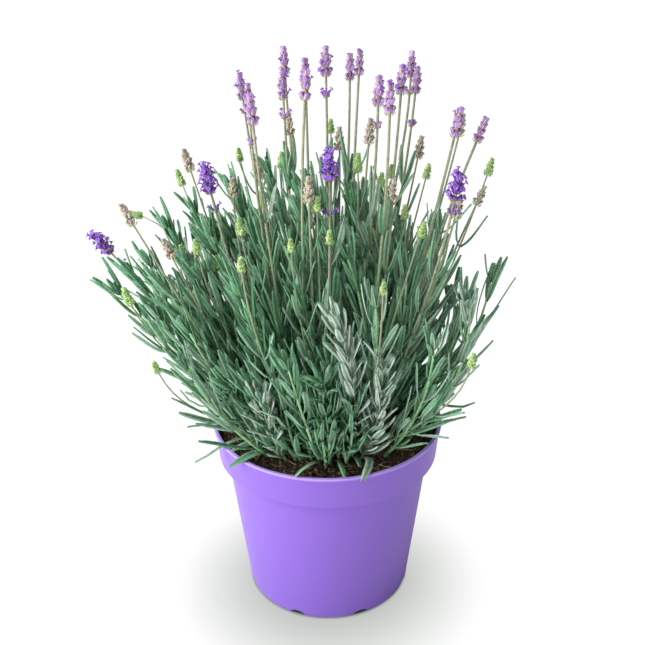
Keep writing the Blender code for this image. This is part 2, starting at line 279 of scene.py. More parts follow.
def bezier(corners: Sequence[np.ndarray], count: int = 16) -> np.ndarray:
    """Works out evenly timed points of a cubic Bezier curve.

    Args:
        corners: Its four control points.
        count: The number of points.

    Returns:
        The points.
    """
    t = np.linspace(0, 1, count)[:, None]
    s = 1 - t
    return corners[0] * s**3 + corners[1] * 3 * s * s * t + corners[2] * 3 * s * t * t + corners[3] * t**3


def smooth_line(corners: Sequence[Sequence[float]], count: int = 20) -> np.ndarray:
    """Lays a smooth line near a few points, read off a curve fitted to them.

    Args:
        corners: The points, in millimetres.
        count: The number of points of the smooth line.

    Returns:
        Its points, in metres.
    """
    points = np.array(corners, float) * MM
    steps = np.linalg.norm(np.diff(points, axis=0), axis=1)
    share = np.concatenate(((0.0,), np.cumsum(steps))) / steps.sum()
    degree = min(3, len(points) - 1)
    at = np.linspace(0, 1, count)
    return np.stack([np.polyval(np.polyfit(share, column, degree), at) for column in points.T], axis=1)


class Growth:
    """Copies of masters gathered into one mesh, with each copy's own tone."""

    def __init__(self) -> None:
        """Starts with no copies."""
        self.points: list[np.ndarray] = []
        self.triangles: list[np.ndarray] = []
        self.values: dict[str, list[np.ndarray]] = {"along": [], "rib": [], "tone": []}
        self.slots: list[np.ndarray] = []
        self.count = 0

    def add(self, master: Master, points: np.ndarray, tone: float, slot: int = 0) -> None:
        """Adds one copy.

        Args:
            master: What it is a copy of.
            points: Its own points.
            tone: 0 for the darkest of its kind, 1 for the palest.
            slot: The number of its material on the piece.
        """
        self.points.append(points)
        self.triangles.append(master.triangles + self.count)
        self.values["along"].append(master.along)
        self.values["rib"].append(master.rib)
        self.values["tone"].append(np.full(len(points), tone))
        self.slots.append(np.full(len(master.triangles), slot))
        self.count += len(points)

    def piece(self, name: str, materials: Sequence[bpy.types.Material], slot: str) -> bpy.types.Object:
        """Makes the gathered copies one object that rides on the root body.

        Args:
            name: The piece's name.
            materials: Its materials, in the order of the copies' slot numbers.
            slot: The record's material slot. It is not used.

        Returns:
            The piece.
        """
        points = np.concatenate(self.points)
        triangles = np.concatenate(self.triangles)
        mesh = bpy.data.meshes.new(name)
        mesh.vertices.add(len(points))
        mesh.vertices.foreach_set("co", points.ravel())
        mesh.loops.add(triangles.size)
        mesh.loops.foreach_set("vertex_index", triangles.ravel())
        mesh.polygons.add(len(triangles))
        mesh.polygons.foreach_set("loop_start", np.arange(0, triangles.size, 3))
        mesh.polygons.foreach_set("material_index", np.concatenate(self.slots))
        for key, parts in self.values.items():
            layer = mesh.attributes.new(key, "FLOAT", "POINT")
            layer.data.foreach_set("value", np.concatenate(parts))
        mesh.update(calc_edges=True)
        mesh.shade_smooth()
        for material in materials:
            mesh.materials.append(material)
        piece = bpy.data.objects.new(name, mesh)
        bpy.context.scene.collection.objects.link(piece)
        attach(piece, "root")
        log.info("%s: %d triangles", name, len(triangles))
        return piece


# -------------------------------------------------------------------------------------- masters


@dataclass(frozen=True)
class LeafOutline:
    """A leaf's width at evenly spaced rows, as shares of its full width, and its form across."""

    rows: tuple[float, ...] = (0.46, 0.80, 0.98, 1.0, 1.0, 0.88, 0.42)
    columns: int = 2
    aspect: float = 10.0
    fold: float = 0.17
    thickness: float = 0.12
    midrib: float = 0.1

    def master(self, name: str) -> Master:
        """Models a folded blade with its margins rolled down, and takes it as a master.

        Args:
            name: What the modelled blade is called.

        Returns:
            The master leaf.
        """
        Bench.clear()
        bpy.ops.mesh.primitive_grid_add(
            x_subdivisions=self.columns,
            y_subdivisions=len(self.rows) - 1,
            size=1,
        )
        bpy.context.object.name = name
        bpy.context.object.scale = (1, self.aspect, 1)
        bpy.context.object.location = (0, self.aspect / 2, 0)
        bpy.ops.object.transform_apply(location=True, rotation=False, scale=True)
        step = self.aspect / (len(self.rows) - 1)
        for number, width in enumerate(self.rows):
            height = number * step
            Bench.pick(lambda place, height=height: abs(place.y - height) < step / 4)
            bpy.ops.transform.resize(value=(width, 1, 1), center_override=(0, height, 0))
        Bench.pick(lambda place: abs(place.x) > self.midrib)
        bpy.ops.transform.translate(value=(0, 0, self.fold))
        bpy.ops.object.mode_set(mode="OBJECT")
        Bench.add_modifier("SOLIDIFY", thickness=self.thickness, offset=0.0)
        return Master.taken(
            bpy.context.object, False, lambda points: np.clip(1 - 2.2 * np.abs(points[:, 0]), 0, 1)
        )


NARROW_LEAF = LeafOutline()
BROAD_LEAF = LeafOutline(rows=(0.40, 0.70, 0.92, 1.0, 0.98, 0.82, 0.38), aspect=7.0, thickness=0.10)
BRACT = LeafOutline(rows=(0.5, 1.0, 0.9, 0.5, 0.1), aspect=1.6, fold=0.12, thickness=0.08)
STEM_ROWS = 14
CALYX_RINGS = ((0.20, 0), (0.40, 0.2), (0.5, 0.55), (0.42, 0.86), (0.50, 1.0), (0.26, 0.94))
COROLLA_RINGS = ((0.10, 0), (0.13, 0.55), (0.22, 0.80), (0.62, 1.0), (0.50, 0.93), (0.08, 0.70))


class Masters:
    """Every shape that the plant repeats, each modelled once."""

    def __init__(self) -> None:
        """Models the leaves, the stem, the parts of a head and the soil's crumb."""
        self.leaf = NARROW_LEAF.master("narrow_leaf")
        self.broad_leaf = BROAD_LEAF.master("broad_leaf")
        self.bract = BRACT.master("bract")
        stem_rings = [(0.5, step / STEM_ROWS) for step in range(STEM_ROWS + 1)]
        self.stem = self.ridged("stem", stem_rings, sides=8, groove=0.84)
        self.calyx = self.ridged("calyx", CALYX_RINGS, sides=8, groove=0.80)
        self.corolla = self.ridged("corolla", COROLLA_RINGS, sides=10, groove=0.60)
        self.crumb = self.lump()

    @staticmethod
    def ridged(name: str, profile: Sequence[tuple[float, float]], sides: int, groove: float) -> Master:
        """Models a round shape whose every other line of vertices is drawn in, so that it is ridged.

        Args:
            name: What the modelled shape is called.
            profile: (radius, height) of each ring.
            sides: The number of sides, half of them ridges.
            groove: The radius between ridges, as a share of the ridges' radius.

        Returns:
            The master.
        """
        piece = Bench.drawn(name, profile, sides)
        half = math.pi / sides

        def in_groove(place: Vector) -> bool:
            """Whether a vertex is on one of the lines between ridges."""
            step = round(math.atan2(place.y, place.x) / (2 * half))
            return step % 2 == 1

        Bench.pick(in_groove)
        bpy.ops.transform.resize(value=(groove, groove, 1), center_override=(0, 0, 0))
        bpy.ops.object.mode_set(mode="OBJECT")

        def ridge(points: np.ndarray) -> np.ndarray:
            """1 on the ridges and 0 in the grooves, for points that lie along +Y."""
            steps = np.round(np.arctan2(-points[:, 2], points[:, 0]) / (2 * half)).astype(int)
            return (steps % 2 == 0).astype(float)

        return Master.taken(piece, True, ridge)

    @staticmethod
    def lump() -> Master:
        """Models a small irregular clod.

        Returns:
            The master.
        """
        Bench.clear()
        bpy.ops.mesh.primitive_ico_sphere_add(subdivisions=1, radius=0.5)
        rng = random.Random(5)
        for vert in bpy.context.object.data.vertices:
            vert.co *= rng.uniform(0.65, 1.15)
        return Master.taken(bpy.context.object, False, lambda points: np.zeros(len(points)))


# ------------------------------------------------------------------------------------- finishes


class Nodes:
    """A material or a node group being wired, so that each node is one short call."""

    def __init__(self, tree: bpy.types.NodeTree) -> None:
        """Starts wiring this tree."""
        self.tree = tree

    def add(
        self, kind: str, inputs: dict[str | int, object] | None = None, **settings: object
    ) -> bpy.types.Node:
        """Adds a node.

        Args:
            kind: Blender's name for the node, without ShaderNode.
            inputs: What each of its inputs is set to, or the socket that it is linked from.
            settings: What its own settings are set to.

        Returns:
            The node.
        """
        node = self.tree.nodes.new("ShaderNode" + kind)
        for key, value in settings.items():
            setattr(node, key, value)
        for key, value in (inputs or {}).items():
            if isinstance(value, bpy.types.NodeSocket):
                self.tree.links.new(value, node.inputs[key])
            else:
                node.inputs[key].default_value = value
        return node

    def mix(self, share: object, first: object, second: object, blend: str = "MIX") -> bpy.types.NodeSocket:
        """Mixes two colours, each given as a colour or a socket.

        Args:
            share: How much of the second there is, as a number or a socket.
            first: The first colour.
            second: The second colour.
            blend: Blender's name for the way that they are mixed.

        Returns:
            The socket of the mixed colour.
        """
        node = self.add("Mix", data_type="RGBA", blend_type=blend)
        for socket, value in ((node.inputs[0], share), (node.inputs[6], first), (node.inputs[7], second)):
            if isinstance(value, bpy.types.NodeSocket):
                self.tree.links.new(value, socket)
            elif isinstance(value, tuple):
                socket.default_value = (*value, 1.0)
            else:
                socket.default_value = value
        return node.outputs[2]

    def math(self, operation: str, *values: object, clamp: bool = False) -> bpy.types.NodeSocket:
        """The socket of a sum, product or other operation on numbers or sockets."""
        node = self.add("Math", dict(enumerate(values)), operation=operation, use_clamp=clamp)
        return node.outputs[0]

    def span(
        self,
        value: bpy.types.NodeSocket,
        read: tuple[float, float],
        given: tuple[float, float],
        **settings: object,
    ) -> bpy.types.NodeSocket:
        """Turns one span of numbers into another, and holds the ends beyond it.

        Args:
            value: The socket that is read.
            read: Where the value's span starts and ends.
            given: What is given at its start and at its end.
            settings: What the node's own settings are set to.

        Returns:
            The socket of the number given.
        """
        ends = {0: value, 1: read[0], 2: read[1], 3: given[0], 4: given[1]}
        return self.add("MapRange", ends, **settings).outputs[0]

    def noise(self, scale: float, detail: float = 3.0, roughness: float = 0.55) -> bpy.types.NodeSocket:
        """Adds a noise over the object's own space.

        Args:
            scale: Its lumps in a metre.
            detail: How many finer noises are laid over it.
            roughness: How strong the finer ones are.

        Returns:
            The socket of the noise, from 0 to 1.
        """
        place = self.add("TexCoord").outputs["Object"]
        texture = self.add(
            "TexNoise", {"Vector": place, "Scale": scale, "Detail": detail, "Roughness": roughness}
        )
        return texture.outputs["Fac"]

    def attribute(self, name: str) -> bpy.types.NodeSocket:
        """The socket of a number kept on the mesh."""
        return self.add("Attribute", attribute_name=name).outputs["Fac"]


def new_material(name: str) -> tuple[bpy.types.Material, Nodes, bpy.types.Node]:
    """Makes a material that holds only a Principled shader.

    Args:
        name: Its name.

    Returns:
        The material, its wiring and its shader.
    """
    material = bpy.data.materials.new(name)
    material.use_nodes = True
    return material, Nodes(material.node_tree), material.node_tree.nodes["Principled BSDF"]


def down_group() -> bpy.types.NodeTree:
    """The fine down on leaves, stems and calyces: blotches a few millimetres long over short hairs.

    Returns:
        A group with inputs Blotch Scale and Hair Scale and outputs Blotch and Height.
    """
    if "plant_down" in bpy.data.node_groups:
        return bpy.data.node_groups["plant_down"]
    group = bpy.data.node_groups.new("plant_down", "ShaderNodeTree")
    for name in ("Blotch Scale", "Hair Scale"):
        group.interface.new_socket(name, in_out="INPUT", socket_type="NodeSocketFloat")
    for name in ("Blotch", "Height"):
        group.interface.new_socket(name, in_out="OUTPUT", socket_type="NodeSocketFloat")
    nodes = Nodes(group)
    scales = group.nodes.new("NodeGroupInput").outputs
    place = nodes.add("TexCoord").outputs["Object"]
    blotch = nodes.add("TexNoise", {"Vector": place, "Scale": scales[0], "Detail": 4.0, "Roughness": 0.6})
    hair = nodes.add("TexNoise", {"Vector": place, "Scale": scales[1], "Detail": 2.0, "Roughness": 0.7})
    veins = nodes.add("TexVoronoi", {"Vector": place, "Scale": scales[1]})
    both = nodes.math("MULTIPLY_ADD", veins.outputs["Distance"], 0.5, hair.outputs["Fac"])
    ends = group.nodes.new("NodeGroupOutput").inputs
    group.links.new(blotch.outputs["Fac"], ends[0])
    group.links.new(both, ends[1])
    return group


@dataclass(frozen=True)
class Downy:
    """A soft, hairy plant surface: a colour from foot to tip, paler by tone, with ribs and down. Its rib
    colour is painted shade in the leaves' midrib groove and a painted highlight on the green stems' ridges.
    """

    name: str
    foot: Colour
    tip: Colour
    pale: Colour
    rib: Colour
    rib_share: float = 0.35
    rib_sharpness: float = 1.9
    roughness: float = 0.62
    gloss: float = 0.32
    sheen: float = 0.25
    translucence: float = 0.10
    blotch_scale: float = 260.0
    hair_scale: float = 2600.0
    blotch_depth: float = 0.55
    relief: float = 0.25

    def material(self) -> bpy.types.Material:
        """Wires the material.

        Returns:
            The material.
        """
        material, nodes, shader = new_material(self.name)
        down = nodes.add("Group", node_tree=down_group())
        down.inputs[0].default_value = self.blotch_scale
        down.inputs[1].default_value = self.hair_scale
        colour = nodes.mix(nodes.attribute("along"), self.foot, self.tip)
        colour = nodes.mix(nodes.attribute("tone"), colour, self.pale)
        # Rib colour: painted shade along the leaves' midrib groove, and a painted highlight along the green
        # stems' ridges.
        steep = nodes.math("POWER", nodes.attribute("rib"), self.rib_sharpness)
        ribbed = nodes.math("MULTIPLY", steep, self.rib_share)
        colour = nodes.mix(ribbed, colour, self.rib)
        swing = self.blotch_depth / 2
        blotch = nodes.span(down.outputs[0], (0.3, 0.7), (1.0 - swing, 1.0 + swing))
        grey = nodes.add("CombineColor", {0: blotch, 1: blotch, 2: blotch})
        colour = nodes.mix(1.0, colour, grey.outputs[0], "MULTIPLY")
        bump = nodes.add("Bump", {"Height": down.outputs[1], "Strength": self.relief, "Distance": 0.0003})
        nodes.tree.links.new(colour, shader.inputs["Base Color"])
        nodes.tree.links.new(bump.outputs[0], shader.inputs["Normal"])
        rough = nodes.math("MULTIPLY_ADD", down.outputs[1], 0.15, self.roughness - 0.08)
        nodes.tree.links.new(rough, shader.inputs["Roughness"])
        shader.inputs["Specular IOR Level"].default_value = self.gloss
        shader.inputs["Sheen Weight"].default_value = self.sheen
        shader.inputs["Sheen Roughness"].default_value = 0.45
        shader.inputs["Subsurface Weight"].default_value = self.translucence
        shader.inputs["Subsurface Scale"].default_value = 0.002
        shader.inputs["Subsurface Radius"].default_value = (0.6, 1.0, 0.4)
        return material


@dataclass(frozen=True)
class MouldedPlastic:
    """Satin purple plastic with a fine grain, faint scuffs, a trace of soil near its mouth and a painted
    highlight along the top of its lip.
    """

    colour: Colour = (0.198, 0.102, 0.475)
    scuffed: Colour = (0.24, 0.125, 0.55)
    # lip is the colour of a painted highlight along the top of the lip.
    lip: Colour = (0.44, 0.32, 0.78)
    dust: Colour = (0.10, 0.07, 0.10)
    roughness: float = 0.40
    gloss: float = 0.22
    mouth_height: float = 0.148
    # Where the painted highlight on the lip starts and ends, above the mouth.
    highlight_rise: tuple[float, float] = (0.0068, 0.0084)
    dust_rise: float = 0.006
    dust_radius: tuple[float, float] = (0.0929, 0.0921)
    dust_margin: float = 0.002

    def material(self) -> bpy.types.Material:
        """Wires the material.

        Returns:
            The material.
        """
        material, nodes, shader = new_material("moulded_plastic")
        place = nodes.add("TexCoord").outputs["Object"]
        stretched = nodes.add("Mapping", {"Vector": place, "Scale": (1.0, 1.0, 0.12)})
        streaks = nodes.add(
            "TexNoise", {"Vector": stretched.outputs[0], "Scale": 420.0, "Detail": 5.0, "Roughness": 0.7}
        )
        scuffs = nodes.span(streaks.outputs["Fac"], (0.56, 0.80), (0.0, 0.5))
        colour = nodes.mix(nodes.noise(9.0), self.colour, tuple(part * 0.95 for part in self.colour))
        colour = nodes.mix(scuffs, colour, self.scuffed)
        height = nodes.add("SeparateXYZ", {0: place}).outputs["Z"]
        # Painted highlight: the very top of the lip is mixed towards the paler lip colour.
        highlight_foot, highlight_top = (self.mouth_height + rise for rise in self.highlight_rise)
        edge = nodes.span(height, (highlight_foot, highlight_top), (0.0, 0.8))
        colour = nodes.mix(edge, colour, self.lip)
        inner = nodes.add("VectorMath", {0: place}, operation="MULTIPLY")
        inner.inputs[1].default_value = (1.0, 1.0, 0.0)
        radius = nodes.add("VectorMath", {0: inner.outputs[0]}, operation="LENGTH").outputs["Value"]
        within = nodes.span(radius, self.dust_radius, (0.0, 1.0))
        low = nodes.span(height, (self.mouth_height + self.dust_rise, self.mouth_height), (0.0, 1.0))
        dusty = nodes.math("MULTIPLY", low, nodes.noise(300.0, 4.0), clamp=True)
        above_collar = nodes.math("GREATER_THAN", height, self.mouth_height - self.dust_margin)
        dusty = nodes.math("MULTIPLY", dusty, nodes.math("MULTIPLY", within, above_collar))
        colour = nodes.mix(dusty, colour, self.dust)
        grain = nodes.math("MULTIPLY_ADD", streaks.outputs["Fac"], 0.4, nodes.noise(3200.0, 2.0))
        bump = nodes.add("Bump", {"Height": grain, "Strength": 0.10, "Distance": 0.0002})
        uneven = nodes.math("MULTIPLY_ADD", nodes.noise(40.0), 0.08, self.roughness - 0.04)
        rough = nodes.math("MULTIPLY_ADD", scuffs, 0.25, uneven)
        nodes.tree.links.new(colour, shader.inputs["Base Color"])
        nodes.tree.links.new(rough, shader.inputs["Roughness"])
        nodes.tree.links.new(bump.outputs[0], shader.inputs["Normal"])
        shader.inputs["Specular IOR Level"].default_value = self.gloss
        shader.inputs["Subsurface Weight"].default_value = 0.05
        shader.inputs["Subsurface Scale"].default_value = 0.002
        return material


@dataclass(frozen=True)
class Compost:
    """Moist compost: near black, with brown and orange specks, paler by the tone of each crumb."""

    name: str
    dark: Colour = (0.006, 0.004, 0.003)
    brown: Colour = (0.050, 0.027, 0.014)
    orange: Colour = (0.24, 0.12, 0.05)
    pale: Colour = (0.20, 0.12, 0.06)
    grain_scale: float = 620.0
    speck_share: float = 0.035

    def material(self) -> bpy.types.Material:
        """Wires the material.

        Returns:
            The material.
        """
        material, nodes, shader = new_material(self.name)
        place = nodes.add("TexCoord").outputs["Object"]
        grains = nodes.add("TexVoronoi", {"Vector": place, "Scale": self.grain_scale})
        pick = nodes.add("SeparateColor", {0: grains.outputs["Color"]})
        colour = nodes.mix(nodes.noise(240.0, 5.0, 0.7), self.dark, self.brown)
        specks = nodes.math("GREATER_THAN", pick.outputs[0], 1.0 - self.speck_share)
        colour = nodes.mix(specks, colour, self.orange)
        colour = nodes.mix(nodes.attribute("tone"), colour, self.pale)
        height = nodes.math("MULTIPLY_ADD", grains.outputs["Distance"], 0.8, nodes.noise(1500.0, 4.0))
        bump = nodes.add("Bump", {"Height": height, "Strength": 0.7, "Distance": 0.0008})
        rough = nodes.math("MULTIPLY_ADD", nodes.noise(400.0), 0.2, 0.78)
        nodes.tree.links.new(colour, shader.inputs["Base Color"])
        nodes.tree.links.new(rough, shader.inputs["Roughness"])
        nodes.tree.links.new(bump.outputs[0], shader.inputs["Normal"])
        return material


class Palette:
    """Every finish of the plant, each made once."""

    def __init__(self) -> None:
        """Makes the materials."""
        self.leaf = Downy(
            "leaf_down",
            foot=(0.084, 0.235, 0.104),
            tip=(0.138, 0.350, 0.190),
            pale=(0.44, 0.54, 0.46),
            # On the leaves the rib colour is painted shade: a dark line in the groove along the midrib.
            rib=(0.010, 0.038, 0.018),
            rib_share=0.80,
            sheen=0.07,
        ).material()
        self.stem = Downy(
            "green_stem",
            foot=(0.14, 0.38, 0.13),
            tip=(0.16, 0.43, 0.17),
            pale=(0.44, 0.62, 0.40),
            sheen=0.10,
            # On the green stems the rib colour is a painted highlight along the ridges.
            rib=(0.26, 0.50, 0.22),
        ).material()
        self.stalk = Downy(
            "flower_stalk",
            foot=(0.08, 0.35, 0.11),
            tip=(0.21, 0.20, 0.13),
            pale=(0.29, 0.27, 0.21),
            rib=(0.26, 0.35, 0.18),
        ).material()
        self.bract = Downy(
            "bract",
            foot=(0.34, 0.38, 0.08),
            tip=(0.46, 0.40, 0.14),
            pale=(0.40, 0.32, 0.20),
            rib=(0.25, 0.24, 0.06),
        ).material()
        self.corolla = Downy(
            "corolla",
            foot=(0.17, 0.040, 0.42),
            tip=(0.30, 0.090, 0.62),
            pale=(0.47, 0.22, 0.78),
            rib=(0.07, 0.015, 0.28),
            rib_share=0.5,
            sheen=0.12,
            translucence=0.15,
        ).material()
        self.calyx = {
            Bloom.OPEN: Downy(
                "open_calyx",
                foot=(0.20, 0.14, 0.22),
                tip=(0.13, 0.035, 0.36),
                pale=(0.26, 0.11, 0.52),
                rib=(0.06, 0.015, 0.18),
                rib_share=0.5,
            ).material(),
            Bloom.LILAC: Downy(
                "lilac_calyx",
                foot=(0.33, 0.32, 0.17),
                tip=(0.26, 0.085, 0.40),
                pale=(0.58, 0.37, 0.69),
                rib=(0.085, 0.030, 0.16),
                rib_share=0.6,
            ).material(),
            Bloom.FADED: Downy(
                "faded_calyx",
                foot=(0.34, 0.42, 0.16),
                tip=(0.36, 0.25, 0.31),
                pale=(0.60, 0.56, 0.42),
                rib=(0.15, 0.10, 0.12),
                rib_share=0.6,
            ).material(),
            Bloom.BUD: Downy(
                "green_calyx",
                foot=(0.12, 0.34, 0.08),
                tip=(0.22, 0.46, 0.13),
                pale=(0.46, 0.64, 0.29),
                rib=(0.09, 0.20, 0.06),
                rib_share=0.45,
            ).material(),
        }
        self.plastic = MouldedPlastic().material()
        self.compost = Compost("compost").material()
        self.crumbs = Compost("compost_crumbs", brown=(0.070, 0.042, 0.025)).material()
        self.fibre = Compost(
            "bark_fibre",
            dark=(0.08, 0.045, 0.025),
            brown=(0.20, 0.11, 0.05),
            pale=(0.50, 0.38, 0.22),
        ).material()


# ------------------------------------------------------------------------------------------ pot


@dataclass
class Pot:
    """The nursery pot: a lip, a tall collar, a rounded step, and a body with notches in its foot."""

    height: float = 0.157
    rim_radius: float = 0.095
    lip_height: float = 0.003
    lip_overhang: float = 0.0013
    collar_drop: float = 0.029
    collar_foot_radius: float = 0.0915
    body_top_radius: float = 0.0845
    body_foot_radius: float = 0.0695
    foot_rounding: float = 0.003
    wall: float = 0.0018
    notches: int = 8
    notch_width: float = 0.015
    notch_height: float = 0.005
    notch_radius: float = 0.068
    notch_depth: float = 0.020
    crease_angle: float = 38
    sides: int = 144
    palette: Palette | None = None

    @staticmethod
    def arc(
        centre: tuple[float, float], radius: float, start: float, end: float, count: int = 5
    ) -> list[tuple[float, float]]:
        """(radius, height) points along an arc, from one angle in degrees to another."""
        angles = [math.radians(start + (end - start) * step / (count - 1)) for step in range(count)]
        return [(centre[0] + radius * math.cos(a), centre[1] + radius * math.sin(a)) for a in angles]

    def outline(self) -> list[tuple[float, float]]:
        """Works out the pot's rings from the underside, up the outside, over the lip and down to the floor.

        Returns:
            Each ring's radius and height.
        """
        collar_foot = self.height - self.collar_drop
        collar_top = self.height - self.lip_height
        foot = self.foot_rounding
        step = 0.0022
        inner_mouth = self.rim_radius - self.lip_overhang - self.wall
        return [
            (0.002, 0.0),
            (0.040, 0.0),
            *self.arc((self.body_foot_radius - foot, foot), foot, -90, -5),
            (self.body_foot_radius + 0.0009, 0.010),
            *[
                (
                    self.body_foot_radius + (self.body_top_radius - self.body_foot_radius) * share,
                    foot + (collar_foot - step - foot) * share,
                )
                for share in (0.25, 0.5, 0.75, 0.97)
            ],
            *self.arc((self.body_top_radius + step, collar_foot - step), step, 180, 100),
            *self.arc((self.collar_foot_radius - step / 2, collar_foot + step / 2), step / 2, -90, 0),
            (self.rim_radius - self.lip_overhang, collar_top - 0.0004),
            *self.arc((self.rim_radius - 0.0007, collar_top + 0.0007), 0.0007, -90, 0),
            *self.arc((self.rim_radius - 0.0009, self.height - 0.0009), 0.0009, 0, 90),
            *self.arc((inner_mouth + 0.0006, self.height - 0.0006), 0.0006, 90, 180),
            (inner_mouth - 0.0003, collar_top),
            (self.collar_foot_radius - self.wall, collar_foot + 0.002),
            (self.body_top_radius - self.wall, collar_foot - 0.001),
            (self.body_foot_radius - self.wall, self.wall + 0.002),
            (self.body_foot_radius - self.wall - 0.002, self.wall),
            (0.002, self.wall),
        ]

    def cut_notches(self, pot: bpy.types.Object) -> None:
        """Cuts half-round tunnels through the pot's bottom edge.

        Args:
            pot: The pot's wall, still whole.
        """
        for number in range(self.notches):
            turn = 2 * math.pi * (number + 0.5) / self.notches
            Bench.clear()
            bpy.ops.mesh.primitive_cylinder_add(
                vertices=32,
                radius=self.notch_width / 2,
                depth=self.notch_depth,
                location=(self.notch_radius * math.cos(turn), self.notch_radius * math.sin(turn), 0),
                rotation=(0, math.pi / 2, turn),
            )
            cutter = bpy.context.object
            bpy.ops.object.transform_apply(location=True, rotation=True, scale=True)
            bpy.ops.object.mode_set(mode="EDIT")
            bpy.ops.mesh.select_all(action="SELECT")
            flattening = self.notch_height / (self.notch_width / 2)
            bpy.ops.transform.resize(value=(1, 1, flattening), center_override=(0, 0, 0))
            Bench.clear()
            bpy.context.view_layer.objects.active = pot
            Bench.add_modifier("BOOLEAN", operation="DIFFERENCE", object=cutter)
            bpy.data.objects.remove(cutter, do_unlink=True)

    def build(self) -> bpy.types.Object:
        """Models the pot and dresses it.

        Returns:
            The pot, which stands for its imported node.
        """
        pot = Bench.drawn("moulded_pot", self.outline(), self.sides)
        self.cut_notches(pot)
        Bench.clear()
        bpy.context.view_layer.objects.active = pot
        pot.select_set(True)
        bpy.ops.object.shade_smooth_by_angle(angle=math.radians(self.crease_angle))
        pot.data.materials.append(self.palette.plastic)
        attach(pot, "root")
        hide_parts("nursery_pot")
        log.info("moulded_pot: %d faces", len(pot.data.polygons))
        return pot


# ----------------------------------------------------------------------------------------- soil


